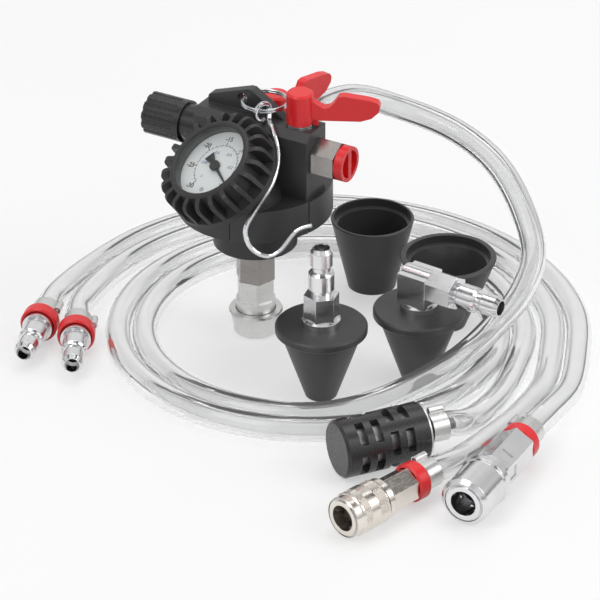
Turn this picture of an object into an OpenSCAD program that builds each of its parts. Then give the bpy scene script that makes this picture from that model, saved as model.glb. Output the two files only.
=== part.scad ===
// Cooling system vacuum and refill kit: a purge head with a gauge and two lever valves,
// three clear hoses with quick couplings, two stopper cones and two adaptor cups.

/* [Layout] */
// Turn of the purge head about the vertical
unit_turn = -30; // [-60:1:60]
// Stopper cone with straight plug, place across
straight_x = 31; // [26:1:36]
// Stopper cone with straight plug, place in depth
straight_y = -61; // [-64:1:-56]
// Stopper cone with elbow, place across
elbow_x = 76.5; // [74:0.5:78]
// Stopper cone with elbow, place in depth
elbow_y = -46; // [-48:1:-40]
// Direction of the elbow's plug
elbow_turn = -35; // [-60:1:0]
// Deep cup, place across
tall_x = 56.4; // [50:0.2:58]
// Deep cup, place in depth
tall_y = 44.8; // [40:0.2:45]
// Wide cup, place across
short_x = 92; // [86:1:94]
// Wide cup, place in depth
short_y = 6; // [0:1:12]

/* [Head housing] */
// Bottom of the neck above the floor
neck_z = 48.7; // [44:0.1:56]
// Neck diameter
neck_d = 40; // [34:0.5:46]
// Neck height
neck_h = 18.3; // [14:0.1:24]
// Drum diameter
drum_d = 73.5; // [70:0.5:80]
// Drum height
drum_h = 16; // [12:0.5:20]
// Depth of the seams on the drum
seam_depth = 0.6; // [0.3:0.1:1]
// Width of the seams on the drum
seam_w = 0.8; // [0.5:0.1:1.5]
// Valve block height above the drum
block_h = 33.5; // [32:0.5:36]
// Valve block reach towards the air inlet
block_right = 34; // [33:0.5:36]
// Valve block reach towards the silencer
block_left = 27; // [25:0.5:32]
// Valve block half depth at the front
block_front = 10.5; // [9.5:0.5:11]
// Valve block half depth at the back
block_back = 7; // [6:0.5:9]
// Chamfer along the top edges of the block
block_chamfer = 3.5; // [2:0.5:5]
// Rear valve boss diameter
rear_boss_d = 18; // [17:0.5:19]
// Rear valve boss reach behind the head's axis
rear_boss_y = 30; // [28:0.5:33]

/* [Hanging tab, ring and hook] */
// Tab thickness
tab_t = 5; // [3:0.5:6]
// Tab peak above the block
tab_rise = 11.5; // [11:0.5:13]
// Tab centre plane behind the head's axis
tab_y = 1.5; // [0:0.5:2]
// Tab foot towards the air inlet
tab_foot = 17; // [15:0.5:17.5]
// Tab hole diameter
tab_hole_d = 5; // [4.2:0.1:6]
// Tab hole place along the block
tab_hole_x = -6; // [-7:0.5:-5.5]
// Tab hole height above the block
tab_hole_h = 6.2; // [6.1:0.1:6.4]
// Split ring mean radius
ring_mean_r = 10.7; // [10.2:0.1:11.2]
// Split ring wire diameter
ring_wire_d = 1.2; // [0.8:0.1:1.4]
// Hook wire diameter
hook_wire_d = 2.4; // [1.8:0.1:2.5]
// Hook eye mean radius
hook_eye_r = 4.3; // [4.2:0.1:4.4]

/* [Gauge] */
// Gauge centre along the inlet axis
gauge_x = 0.6; // [-1:0.1:2]
// Gauge centre in front of the head's axis
gauge_y = -35.5; // [-38:0.1:-35]
// Gauge centre height
gauge_z = 103.6; // [103:0.1:105]
// Lean of the gauge from the vertical
gauge_tilt = 37.9; // [35:0.1:41]
// Direction that the gauge faces, from the inlet axis
gauge_turn = -112.9; // [-118:0.1:-108]
// Gauge case diameter
case_d = 40; // [39:0.5:41]
// Gauge case sheet thickness
case_wall = 1; // [0.6:0.1:1.5]
// Gauge case depth
case_h = 15.4; // [14.8:0.1:16]
// Dial thickness
dial_t = 0.8; // [0.5:0.1:1.2]
// Dial depth below the case rim
dial_down = 6.2; // [5.4:0.1:6.2]
// Lens thickness
lens_t = 1.5; // [1:0.1:2]
// Needle length from its pivot
needle_len = 15.5; // [13:0.5:17]
// Needle direction at rest, on the dial
needle_rest = 70; // [60:1:80]
// Needle spindle diameter
spindle_d = 2.4; // [2:0.1:3]
// Boot outer diameter at its rear ring
boot_d = 55.2; // [54:0.2:55.4]
// Boot depth
boot_h = 16.6; // [16.4:0.1:17]
// Opening of the boot's front lip
boot_mouth_d = 36.6; // [34:0.2:37]
// Boot rear ring thickness
boot_ring_t = 3.4; // [2.5:0.1:4.5]
// Number of grip ribs on the boot
boot_ribs = 22; // [18:1:26]
// Rib thickness
rib_t = 2.1; // [1.4:0.1:2.6]
// Slant of the ribs
rib_slant = 4; // [0:1:20]
// Gauge stem diameter
stem_d = 10; // [8:0.5:12]
// Gauge stem length behind the case
stem_len = 15; // [12:0.5:18]

/* [Valves] */
// Valve ball radius
ball_r = 5.5; // [5:0.1:6]
// Valve stem diameter
valve_stem_d = 6; // [5:0.1:7]
// Front valve place along the inlet axis
front_valve_x = 24.4; // [24:0.1:25]
// Rear valve place along the inlet axis
rear_valve_x = 1; // [0:0.5:3]
// Rear valve place behind the head's axis
rear_valve_y = 18; // [17:0.5:19]
// Rear valve height
rear_valve_z = 93; // [92:0.5:93.5]
// Gland nut height
gland_h = 1; // [0.8:0.1:1.4]
// Gland nut size across flats
gland_af = 11; // [9:0.5:12]
// Lever hub diameter
hub_d = 12.7; // [11:0.1:14]
// Lever hub height
hub_h = 15.5; // [15:0.5:17]
// Lever length from its stem
lever_len = 37.5; // [32:0.5:42]
// Lever wing thickness
wing_t = 4.6; // [3:0.1:6]
// Front lever direction, from the inlet axis
front_lever_turn = 22; // [0:1:40]
// Rear lever direction, from the inlet axis
rear_lever_turn = 79; // [60:1:90]

/* [Air line] */
// Height of the air line through the head
venturi_z = 102.3; // [101.5:0.1:103.5]
// Air line bore
venturi_bore_d = 14; // [13:0.1:14.4]
// Bore of the air line on the silencer side
exhaust_bore_d = 10; // [9:0.1:11]
// Inlet fitting size across flats
inlet_af = 17; // [15:0.5:19]
// Inlet fitting hex length
inlet_h = 12.5; // [10:0.5:14]
// Inlet socket diameter
inlet_socket_d = 11.7; // [10:0.1:12.5]
// Dust plug head diameter
dust_d = 17; // [15:0.5:18]
// Dust plug head thickness
dust_t = 4.3; // [3:0.1:6]
// Silencer tube diameter
silencer_d = 18; // [16:0.5:19]
// Silencer cap diameter
silencer_cap_d = 20.5; // [20:0.5:23]
// Silencer reach from the head's axis
silencer_reach = 56.5; // [55:0.5:60]
// Silencer cap length
silencer_cap_len = 20; // [16:0.5:22]
// Number of flutes round the silencer cap
silencer_flutes = 12; // [8:1:16]

/* [Couplers and plugs] */
// Diameter of the plug's sealing land
plug_d = 12; // [11.6:0.1:12.4]
// Radial clearance between plug and socket
plug_clear = 0.05; // [0.02:0.01:0.1]
// Length of the plug's sealing land
plug_land = 8; // [6:0.5:9]
// Plug length beyond its shoulder
plug_len = 24; // [23:0.5:27]
// Plug nose diameter
nose_d = 10.2; // [9.6:0.1:11]
// Plug flow bore
plug_bore_d = 5.2; // [4:0.1:6]
// Width of the plug's bore at its tip
tip_bore_d = 7; // [6:0.1:7.2]
// Socket barrel outer diameter
barrel_d = 16.4; // [16:0.1:17]
// Radial clearance of a sliding sleeve on its barrel
sleeve_clear = 0.1; // [0.05:0.01:0.15]
// Locking ball radius
lock_ball_r = 1.4; // [1.2:0.1:1.5]
// Number of locking balls in a socket
lock_balls = 6; // [4:1:6]
// Sleeve spring wire diameter
spring_wire_d = 0.7; // [0.5:0.1:0.8]
// Turns of a sleeve spring
spring_turns = 3; // [2:1:4]
// Head socket guide length
unit_guide = 3; // [2.5:0.1:3.5]
// Head socket sleeve length
unit_sleeve_len = 12; // [11:0.5:13]
// Head socket sleeve largest diameter
unit_sleeve_d = 26; // [24:0.5:28]
// Head socket sleeve nose diameter
unit_nose_d = 21.5; // [21:0.5:23]
// Head hex size across flats
unit_hex_af = 16.6; // [15:0.1:19]
// Head socket length
unit_socket_len = 29; // [27:0.5:32]
// Hose socket guide length
hose_guide = 8; // [6:0.5:9]
// Hose socket length of the barrel
hose_barrel_len = 21; // [20:0.5:23]
// Large coupler sleeve diameter
big_d = 24; // [22:0.5:26]
// Large coupler sleeve length
big_sleeve_len = 24; // [23:0.5:25]
// Large coupler hex across flats
big_hex_af = 17; // [17:0.5:20]
// Large coupler length beyond the hose
big_len = 61; // [56:0.5:66]
// Small coupler sleeve diameter
small_d = 20.4; // [20:0.2:22]
// Small coupler sleeve length
small_sleeve_len = 20.5; // [20:0.5:21]
// Small coupler hex across flats
small_hex_af = 14.5; // [14:0.5:17]
// Small coupler length beyond the hose
small_len = 47; // [42:0.5:52]

/* [Hoses] */
// Hose outer diameter
hose_d = 12; // [11:0.1:12.2]
// Hose bore
hose_bore_d = 8; // [6.5:0.1:9]
// Number of sides of a hose
hose_sides = 10; // [8:1:12]
// Red ring outer diameter
ring_d = 18; // [16:0.5:19]
// Red ring length
ring_len = 6.5; // [4:0.5:7]
// Clamp band width
clamp_w = 8; // [6:0.5:9]
// Clamp band thickness
clamp_t = 0.7; // [0.4:0.1:1]
// Diameter of the clamp's rolled ear
ear_d = 3.4; // [3:0.1:4]
// Barb length inside a hose
barb_len = 14; // [10:0.5:18]

/* [Strainer] */
// Strainer diameter
strainer_d = 27; // [25:0.5:29]
// Strainer length
strainer_len = 41; // [36:0.5:46]
// Strainer wall
strainer_wall = 3; // [2:0.1:3.6]
// Rows of slots
slot_rows = 4; // [2:1:5]
// Slot width
slot_w = 4; // [2.4:0.1:4.6]
// Slots round the strainer
slot_count = 5; // [4:1:8]
// Rib between two slots
slot_rib = 5.2; // [3:0.1:6]

/* [Rubber stoppers and cups] */
// Stopper disc diameter
disc_d = 43; // [40:0.5:44]
// Stopper disc thickness
disc_t = 4; // [3:0.1:5]
// Stopper cone height under the disc
cone_h = 34; // [32:0.5:38]
// Stopper cone diameter under the disc
cone_top_d = 38; // [34:0.5:39]
// Stopper cone diameter at the foot
cone_foot_d = 15; // [12:0.5:16]
// Stopper flow bore
cone_bore_d = 7; // [5:0.1:8]
// Shank diameter in the stopper
shank_d = 10; // [9:0.1:11]
// Shank depth in the stopper
shank_len = 18; // [14:0.5:24]
// Fitting collar diameter on the stopper
collar_d = 18; // [16:0.5:20]
// Fitting collar thickness
collar_t = 4; // [2:0.1:5]
// Straight plug hex across flats
plug_hex_af = 14.5; // [13.5:0.5:16]
// Straight plug hex length
plug_hex_h = 12; // [9:0.5:14]
// Elbow block width
elbow_w = 15; // [14:0.5:17]
// Elbow bore height above the stopper
elbow_rise = 14; // [13:0.5:16]
// Elbow nut length
elbow_nut_h = 13; // [9:0.5:15]
// Cup height
cup_h = 37; // [33:0.5:41]
// Deep cup rim diameter
tall_rim_d = 41; // [38:0.5:43]
// Deep cup foot diameter
tall_foot_d = 23.5; // [21:0.5:26]
// Deep cup wall
tall_wall = 1.8; // [1.4:0.1:2.4]
// Wide cup rim diameter
short_rim_d = 46.5; // [44:0.5:48]
// Wide cup foot diameter
short_foot_d = 18; // [17:0.5:20]
// Wide cup wall
short_wall = 3.2; // [2.6:0.1:3.6]
// Depth of the step inside a cup's rim
cup_step = 4; // [3:0.1:5]

/* [Hidden] */
$fn = 64;
// clearance of a fixed fit, on the radius
fit = 0.05;
// clearance between pieces that pass each other
gap = 0.3;
// gap between a hose's cut face and its fitting
seat_gap = 0.1;
// small overshoot of a cut
eps = 0.01;

drum_z = neck_z + neck_h;
block_z = drum_z + drum_h;
top_z = block_z + block_h;
rear_top_z = rear_valve_z + rear_boss_d / 2 + 0.2;
seat_reach = ball_r + 1.3;

plug_r = plug_d / 2;
socket_r = plug_r + plug_clear;
barrel_r = barrel_d / 2;
land_r = barrel_r + sleeve_clear;
pocket_r = barrel_r + 1.5;
hose_r = hose_d / 2;
barb_r = hose_bore_d / 2 * cos(180 / hose_sides) - 0.25;
shoulder_r = hose_r + 0.1;
clamp_r = hose_r + 0.15;
ear_r = clamp_r + ear_d / 2 + 0.3;
hex_scale = 1 / cos(30);

gland_z = top_z;
front_hub_z = top_z + gland_h + 0.2;
rear_gland_z = rear_top_z;
rear_hub_z = rear_top_z + gland_h + 0.2;

// height of the case's rim over the gauge's centre
rim_s = 6;
case_back = case_h - rim_s;
boot_front = rim_s + 1.7;
boot_back = boot_h - boot_front;
case_r = case_d / 2;
boss_s = case_back + gap;
dial_s = rim_s - dial_down;
lens_s = rim_s - lens_t - 0.4;

// end of the gauge's drilling, where it meets the sensing passage
sense_s = case_back + stem_len + 4;
sense_at = [
  gauge_x - sense_s * sin(gauge_tilt) * cos(gauge_turn),
  gauge_y - sense_s * sin(gauge_tilt) * sin(gauge_turn),
  gauge_z - sense_s * cos(gauge_tilt)
];
tab_x0 = -block_left + 2.6;
ring_z = top_z + tab_hole_h;

// floor lanes of the hoses: centre, and height of a hose that lies on the floor
loop_x = 28;
loop_y = -12;
lane_z = hose_r + 0.2;
lane_pitch = 12.7;
lane_first_r = 81;
lane_b_r = 113.9;
lane_a_r = 126.5;
lane_start = -90;
lane_step = 22.5;
lane_knots = 30;
wide_start = 150;
wide_step = 18;
wide_knots = 10;

// hose ends: place of the hose's cut face and direction of the fitting
plug_a = [-102.3, -5.9, ring_d / 2];
plug_a_turn = -101.5;
plug_b = [-85, -16.7, ring_d / 2];
plug_b_turn = -91;
big_at = [121.3, -120.6, big_d / 2];
big_turn = -118;
small_at = [73.5, -150.9, small_d / 2];
small_turn = -136;
strainer_at = [78, -114.2, strainer_d / 2];
strainer_turn = -156.4;

// pieces behind the rear valve
tail_nut_h = 8;
tail_y = rear_boss_y + tail_nut_h;

function heading(a) = [cos(a), sin(a), 0];
function turned(p) = [
  p[0] * cos(unit_turn) - p[1] * sin(unit_turn),
  p[0] * sin(unit_turn) + p[1] * cos(unit_turn),
  p[2]
];
function lane(r, a) = [loop_x + r * cos(a), loop_y + r * sin(a), lane_z];
function lead(e, a, back, z) = [
  e - seat_gap * heading(a),
  e - 12 * heading(a),
  [e[0] - back * cos(a), e[1] - back * sin(a), z]
];
function flip(v) = [for (i = [len(v) - 1:-1:0]) v[i]];

// hose from the outer left plug to the large coupler
route_a = concat(
  lead(plug_a, plug_a_turn, 26, 8),
  [for (k = [0:wide_knots - 1]) lane(lane_a_r, wide_start - wide_step * k)],
  [[146, -70, 7.5]],
  flip(lead(big_at, big_turn, 26, 11))
);
// hose from the inner left plug to the small coupler
route_b = concat(
  lead(plug_b, plug_b_turn, 26, 8),
  [for (k = [0:wide_knots - 1]) lane(lane_b_r, wide_start - wide_step * k)],
  [[133.5, -66, lane_z], [120.5, -92, lane_z], [105, -115, 7]],
  flip(lead(small_at, small_turn, 26, 9))
);
// hose from the rear valve, over the arch, round the floor twice, to the strainer
tail_at = turned([rear_valve_x, tail_y, rear_valve_z]);
tail_dir = turned([0, 1, 0]);
route_c = concat(
  [tail_at + seat_gap * tail_dir, tail_at + 12 * tail_dir, tail_at + 24 * tail_dir + [0, 0, 1]],
  [[48, 66, 92], [72, 70, 83], [97, 57, 77.5], [116, 36, 70], [128, 13, 56], [132, -4, 42]],
  [[125, -20, 30], [112, -36, 22], [95, -58, 17.5], [70, -74, 10.5], [50, -84, 7.5]],
  [for (k = [0:lane_knots - 1])
    lane(lane_first_r + lane_pitch * (k * lane_step - 90) / 360, lane_start - lane_step * k)],
  [[112, -78, 7.5]],
  flip(lead(strainer_at, strainer_turn, 20, 12.5))
);

// hook: eye, then the shank and the open bow, as a route in space
eye_at = turned([tab_hole_x + ring_mean_r, tab_y, ring_z]) + ring_mean_r * heading(-95) + [0, 0.2, -0.5];
eye_u = [0.766, 0.643, 0];
hook_knots = concat(
  [for (k = [0:10]) eye_at + hook_eye_r * (cos(-75 - 27 * k) * eye_u + sin(-75 - 27 * k) * [0, 0, 1])],
  [[6.9, -11.3, 118.6], [8.2, -16.4, 116.7], [9.5, -20, 113.9], [10.6, -22.6, 110.2], [11.1, -26, 106.7]],
  [[10.6, -30.2, 103.3], [9.4, -34, 100.5], [7.5, -37.3, 97], [5, -40.2, 93.9], [2.2, -42.4, 90.2]],
  [[-0.3, -44, 86.6], [-2.5, -45, 83], [-3.8, -45.6, 79.3], [-3.8, -45.9, 75.8], [-2.5, -46.1, 71.7]],
  [[0.5, -46.3, 67.9], [4.8, -46.5, 65.8], [9.1, -46.4, 66.2], [13, -45.8, 69.4], [15.9, -45, 73.4]],
  [[19, -44.3, 77.1], [22.4, -43.8, 79.1], [26.7, -43.6, 80.1]]
);
// smooth curve through knots, with n steps from each knot to the next
function bend(a, b, c, d, t) =
  (2 * b + (c - a) * t + (2 * a - 5 * b + 4 * c - d) * t * t + (3 * b - a - 3 * c + d) * t * t * t) / 2;
function eased(p, n) = concat(
  [for (i = [0:len(p) - 2]) for (k = [0:n - 1])
    bend(p[max(i - 1, 0)], p[i], p[i + 1], p[min(i + 2, len(p) - 1)], k / n)],
  [p[len(p) - 1]]
);

function unit_of(v) = v / norm(v);
function way(p, i) = unit_of(p[min(i + 1, len(p) - 1)] - p[max(i - 1, 0)]);
function across(t) = abs(t[2]) > 0.95 ? unit_of(cross(t, [1, 0, 0])) : unit_of(cross(t, [0, 0, 1]));
function circle_at(p, t, u, r, n) = [
  for (k = [0:n - 1]) p + r * (cos(360 * k / n) * u + sin(360 * k / n) * cross(u, t))
];
// side vectors that are carried along a route without twisting
function carry(p, i, u) = let (t = way(p, i)) unit_of(u - (u * t) * t);
function sides_of(p, i, u) = i >= len(p) ? [] :
  let (v = carry(p, i, u)) concat([v], sides_of(p, i + 1, v));
function rings_of(p, r, n) = let (s = sides_of(p, 0, across(way(p, 0))))
  [for (i = [0:len(p) - 1]) each circle_at(p[i], way(p, i), s[i], r, n)];
function walls(m, n, first, inward) = [
  for (i = [0:m - 2]) for (k = [0:n - 1])
    let (a = first + i * n + k, b = first + i * n + (k + 1) % n)
      each (inward ? [[a, a + n, b], [b, a + n, b + n]] : [[a, b, a + n], [b, b + n, a + n]])
];
function cap_fan(n, first, back) = [
  for (k = [1:n - 2]) back ? [first, first + k + 1, first + k] : [first, first + k, first + k + 1]
];
function rim(n, outer, inner, back) = [
  for (k = [0:n - 1])
    let (a = outer + k, b = outer + (k + 1) % n, c = inner + k, d = inner + (k + 1) % n)
      each (back ? [[a, c, b], [b, c, d]] : [[a, b, c], [b, d, c]])
];

// round solid bar along a route
module bar(p, r, n) {
  polyhedron(
    points = rings_of(p, r, n),
    faces = concat(walls(len(p), n, 0, false), cap_fan(n, 0, true), cap_fan(n, (len(p) - 1) * n, false)),
    convexity = 10
  );
}

// round tube along a route
module tube(p, r, bore_r, n) {
  m = len(p);
  total = m * n;
  polyhedron(
    points = concat(rings_of(p, r, n), rings_of(p, bore_r, n)),
    faces = concat(
      walls(m, n, 0, false),
      walls(m, n, total, true),
      rim(n, 0, total, true),
      rim(n, (m - 1) * n, total + (m - 1) * n, false)
    ),
    convexity = 10
  );
}

// least distance between passes of one hose that are far apart along it
function along(p, i) = i == 0 ? [0] : let (s = along(p, i - 1)) concat(s, [s[i - 1] + norm(p[i] - p[i - 1])]);
function fine(p) = [for (i = [0:len(p) - 2]) for (k = [0:5]) p[i] + (p[i + 1] - p[i]) * k / 6];
function self_gap(p) = let (q = fine(p), s = along(q, len(q) - 1))
  min([for (i = [0:len(q) - 1]) for (j = [i + 1:1:len(q) - 1]) if (s[j] - s[i] > 60) norm(q[i] - q[j])]);
echo(least_gap_of_long_hose_to_itself = self_gap(route_c) - hose_d);

module on_unit() {
  rotate([0, 0, unit_turn]) children();
}
module on_gauge() {
  on_unit() translate([gauge_x, gauge_y, gauge_z]) rotate([0, gauge_tilt, gauge_turn]) children();
}
// along the air line, with the local upright axis pointing to the inlet
module on_line() {
  on_unit() translate([0, 0, venturi_z]) rotate([0, 90, 0]) children();
}
// along the rear valve's line, with the local upright axis pointing backwards
module on_rear() {
  on_unit() translate([rear_valve_x, 0, rear_valve_z]) rotate([-90, 0, 0]) children();
}
// a fitting that lies at a hose end, with the local upright axis pointing out of the hose
module lying(at, turn) {
  translate(at) rotate([0, 0, turn]) rotate([0, 90, 0]) children();
}
module hex(af, h) {
  cylinder(d = af * hex_scale, h = h, $fn = 6);
}
module ring(r_out, r_in, h) {
  difference() {
    cylinder(r = r_out, h = h);
    translate([0, 0, -eps]) cylinder(r = r_in, h = h + 2 * eps);
  }
}

// Purge head

module block_shape() {
  translate([-block_left, 0, 0])
    rotate([90, 0, 90])
      linear_extrude(block_left + block_right)
        polygon([
          [-block_front, block_z - 1],
          [block_back, block_z - 1],
          [block_back, top_z],
          [-block_front + block_chamfer, top_z],
          [-block_front, top_z - block_chamfer]
        ]);
}

module tab_shape() {
  translate([0, tab_y + tab_t / 2, 0])
    rotate([90, 0, 0])
      linear_extrude(tab_t)
        polygon([
          [tab_x0, top_z - 2],
          [tab_x0, top_z + 3.4],
          [tab_x0 + 0.8, top_z + 4.4],
          [tab_hole_x + 2.8, top_z + tab_rise],
          [tab_hole_x + 5, top_z + tab_rise],
          [tab_foot, top_z],
          [tab_foot, top_z - 2]
        ]);
}

module head_body() {
  translate([0, 0, neck_z]) cylinder(d = neck_d, h = neck_h + 1);
  translate([0, 0, drum_z]) cylinder(d = drum_d, h = drum_h);
  block_shape();
  tab_shape();
  // rear shoulder that carries the rear valve
  translate([rear_valve_x - rear_boss_d / 2 + 1.5, 0, block_z - 1])
    cube([rear_boss_d - 3, rear_valve_y + 8, rear_valve_z - block_z + 1]);
  translate([rear_valve_x, 0, rear_valve_z]) rotate([-90, 0, 0]) cylinder(d = rear_boss_d, h = rear_boss_y);
  translate([rear_valve_x, rear_valve_y, rear_valve_z]) cylinder(d = 15, h = rear_top_z - rear_valve_z);
  // boss that carries the gauge
  translate([gauge_x, gauge_y, gauge_z]) rotate([0, gauge_tilt, gauge_turn])
    translate([0, 0, -boss_s - 24]) cylinder(d = 30, h = 24);
}

module seams() {
  for (a = [-78, -16.5])
    rotate([0, 0, a])
      translate([drum_d / 2 - seam_depth, -seam_w / 2, drum_z - eps])
        cube([seam_depth + 1, seam_w, drum_h + 2 * eps]);
}

module head_cuts() {
  // room for the gauge and its boot
  translate([gauge_x, gauge_y, gauge_z]) rotate([0, gauge_tilt, gauge_turn])
    translate([0, 0, -boss_s]) cylinder(d = boot_d + 1.2, h = 90);
  // gauge stem
  translate([gauge_x, gauge_y, gauge_z]) rotate([0, gauge_tilt, gauge_turn]) {
    translate([0, 0, -case_back - stem_len - 0.2]) cylinder(r = stem_d / 2 + fit, h = stem_len + 2);
    translate([0, 0, -sense_s - 2.5]) cylinder(d = 4, h = sense_s - case_back - 2.5);
  }
  // sensing passage from the gauge to the suction passage
  translate([0, 0, sense_at[2]]) rotate([0, 0, atan2(sense_at[1], sense_at[0])]) rotate([0, 90, 0])
    cylinder(d = 3, h = norm([sense_at[0], sense_at[1]]));
  // air line from the inlet to the silencer
  translate([-4, 0, venturi_z]) rotate([0, 90, 0]) cylinder(d = venturi_bore_d, h = block_right + 5);
  translate([-block_left - 1, 0, venturi_z]) rotate([0, 90, 0]) cylinder(d = exhaust_bore_d, h = block_left);
  // suction passage and outlet thread
  translate([0, 0, neck_z - 1]) cylinder(d = 8, h = venturi_z - neck_z + 1);
  translate([0, 0, neck_z - 1]) cylinder(r = 6.5 + fit, h = 10.5);
  // rear valve
  translate([rear_valve_x, 0, rear_valve_z]) rotate([-90, 0, 0]) cylinder(d = 6, h = rear_boss_y);
  translate([rear_valve_x, rear_valve_y - seat_reach - 0.1, rear_valve_z]) rotate([-90, 0, 0])
    cylinder(d = venturi_bore_d, h = rear_boss_y - rear_valve_y + seat_reach + 1);
  translate([rear_valve_x, rear_valve_y, rear_valve_z]) cylinder(r = valve_stem_d / 2 + fit, h = 30);
  // front valve stem
  translate([front_valve_x, 0, venturi_z]) cylinder(r = valve_stem_d / 2 + fit, h = 30);
  // ring hole in the tab
  translate([tab_hole_x, tab_y, ring_z])
    rotate([90, 0, 0]) cylinder(d = tab_hole_d, h = 3 * tab_t, center = true);
  seams();
}

module housing() {
  color([0.13, 0.13, 0.14]) on_unit() difference() {
    head_body();
    head_cuts();
  }
}

module silencer_tube() {
  color([0.1, 0.1, 0.11]) on_line() difference() {
    union() {
      translate([0, 0, -block_left - 13]) cylinder(d = silencer_d, h = 13);
      translate([0, 0, -block_left - 1]) cylinder(r = exhaust_bore_d / 2 - fit, h = 6);
    }
    translate([0, 0, -block_left - 14]) cylinder(d = exhaust_bore_d - 3, h = 20);
  }
}

module silencer_cap() {
  start = silencer_reach - silencer_cap_len;
  color([0.15, 0.15, 0.16]) on_line() difference() {
    translate([0, 0, -silencer_reach]) cylinder(d = silencer_cap_d, h = silencer_cap_len);
    translate([0, 0, -silencer_reach + 2]) cylinder(r = silencer_d / 2 + fit, h = silencer_cap_len);
    translate([0, 0, -silencer_reach - 1]) cylinder(d = 9, h = 4);
    for (k = [0:silencer_flutes - 1])
      rotate([0, 0, 360 / silencer_flutes * k])
        translate([silencer_cap_d / 2 + 0.9, 0, -silencer_reach - 1])
          cylinder(d = 3.2, h = silencer_cap_len - 2, $fn = 24);
  }
}

module silencer_core() {
  color([0.75, 0.72, 0.62]) on_line()
    translate([0, 0, -silencer_reach + 2])
      cylinder(r = silencer_d / 2 - 0.1, h = silencer_reach - block_left - 15);
}

module venturi_jet() {
  jet_start = front_valve_x - seat_reach - 0.1;
  color([0.78, 0.62, 0.3]) on_line() rotate_extrude()
    polygon([
      [4.5, jet_start],
      [venturi_bore_d / 2 - fit, jet_start],
      [venturi_bore_d / 2 - fit, 5],
      [3.4, 5],
      [2.4, -3],
      [1.2, -3],
      [1.2, 1]
    ]);
}

module venturi_diffuser() {
  color([0.76, 0.6, 0.3]) on_line() rotate_extrude()
    polygon([
      [exhaust_bore_d / 2 - 1.4, -block_left + 5.2],
      [exhaust_bore_d / 2 - fit, -block_left + 5.2],
      [exhaust_bore_d / 2 - fit, -6],
      [exhaust_bore_d / 2 - 1.4, -6],
      [2.2, -10]
    ]);
}

module inlet_fitting() {
  color([0.8, 0.77, 0.72]) on_line() difference() {
    union() {
      translate([0, 0, block_right]) hex(inlet_af, inlet_h);
      translate([0, 0, front_valve_x + seat_reach + 0.1])
        cylinder(r = venturi_bore_d / 2 - fit, h = block_right - front_valve_x - seat_reach + 0.5);
    }
    translate([0, 0, block_right - 5]) cylinder(d = 6, h = 20);
    translate([0, 0, block_right + 2]) cylinder(d = inlet_socket_d, h = inlet_h);
  }
}

module dust_plug() {
  head = block_right + inlet_h + 0.2;
  color([0.8, 0.12, 0.14]) on_line() difference() {
    union() {
      translate([0, 0, head]) cylinder(d = dust_d, h = dust_t);
      translate([0, 0, block_right + 3.5]) cylinder(r = inlet_socket_d / 2 - fit, h = inlet_h - 3);
    }
    difference() {
      translate([0, 0, head + 1.4]) cylinder(d = dust_d - 3.6, h = dust_t);
      translate([-dust_d / 2, -1.3, head]) cube([dust_d, 2.6, dust_t + 1]);
    }
  }
}

// two balls and their seats in the air line and in the rear line
module ball_and_stem(top) {
  difference() {
    union() {
      sphere(r = ball_r);
      cylinder(d = valve_stem_d, h = top);
    }
    rotate([0, 90, 0]) cylinder(d = 5, h = 4 * ball_r, center = true);
  }
}

module front_valve_ball() {
  color([0.82, 0.8, 0.76]) on_unit() translate([front_valve_x, 0, venturi_z]) rotate([0, 0, front_lever_turn])
    ball_and_stem(front_hub_z - venturi_z + 11);
}

module rear_valve_ball() {
  color([0.82, 0.8, 0.76]) on_unit() translate([rear_valve_x, rear_valve_y, rear_valve_z])
    rotate([0, 0, rear_lever_turn]) ball_and_stem(rear_hub_z - rear_valve_z + 11);
}

module seat() {
  difference() {
    translate([0, 0, 3.6]) ring(venturi_bore_d / 2 - fit, 2.9, seat_reach - 3.6);
    sphere(r = ball_r + 0.06);
  }
}

module valve_seats() {
  color([0.93, 0.93, 0.9]) {
    on_line() translate([0, 0, front_valve_x]) seat();
    on_line() translate([0, 0, front_valve_x]) rotate([180, 0, 0]) seat();
    on_rear() translate([0, 0, rear_valve_y]) seat();
    on_rear() translate([0, 0, rear_valve_y]) rotate([180, 0, 0]) seat();
  }
}

module gland_nuts() {
  color([0.8, 0.79, 0.76]) on_unit() {
    translate([front_valve_x, 0, gland_z]) difference() {
      hex(gland_af, gland_h);
      translate([0, 0, -1]) cylinder(r = valve_stem_d / 2 + fit, h = gland_h + 2);
    }
    translate([rear_valve_x, rear_valve_y, rear_gland_z]) difference() {
      hex(gland_af, gland_h);
      translate([0, 0, -1]) cylinder(r = valve_stem_d / 2 + fit, h = gland_h + 2);
    }
  }
}

// wing lever: round hub, dipped arm and an upright paddle
module lever_shape() {
  difference() {
    union() {
      cylinder(d = hub_d, h = hub_h - 1);
      translate([0, 0, hub_h - 1]) cylinder(d1 = hub_d, d2 = hub_d - 2, h = 1);
      translate([0, wing_t / 2, 0]) rotate([90, 0, 0]) linear_extrude(wing_t)
        polygon([
          [0, 2.6],
          [hub_d / 2 + 2, 2.2],
          [lever_len - 9, 3],
          [lever_len - 4, 4.8],
          [lever_len - 0.6, 8.2],
          [lever_len, 10.8],
          [lever_len - 1, 12.8],
          [lever_len - 5, 14],
          [lever_len - 17, 15.4],
          [lever_len - 19.4, 14.8],
          [lever_len - 21.2, 11.8],
          [lever_len - 23.4, 9.4],
          [lever_len - 26, 8.6],
          [hub_d / 2 + 3, 9.6],
          [hub_d / 2 + 0.6, 11.4],
          [0, 13.4]
        ]);
      // stop tooth under the hub
      translate([hub_d / 2 - 1, -1.6, 0.4]) cube([3.4, 3.2, 5]);
      translate([hub_d / 2 + 0.6, -1.6, -0.9]) cube([1.8, 3.2, 2.5]);
    }
    translate([0, 0, -2]) cylinder(r = valve_stem_d / 2 + fit, h = 13.2);
  }
}

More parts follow.
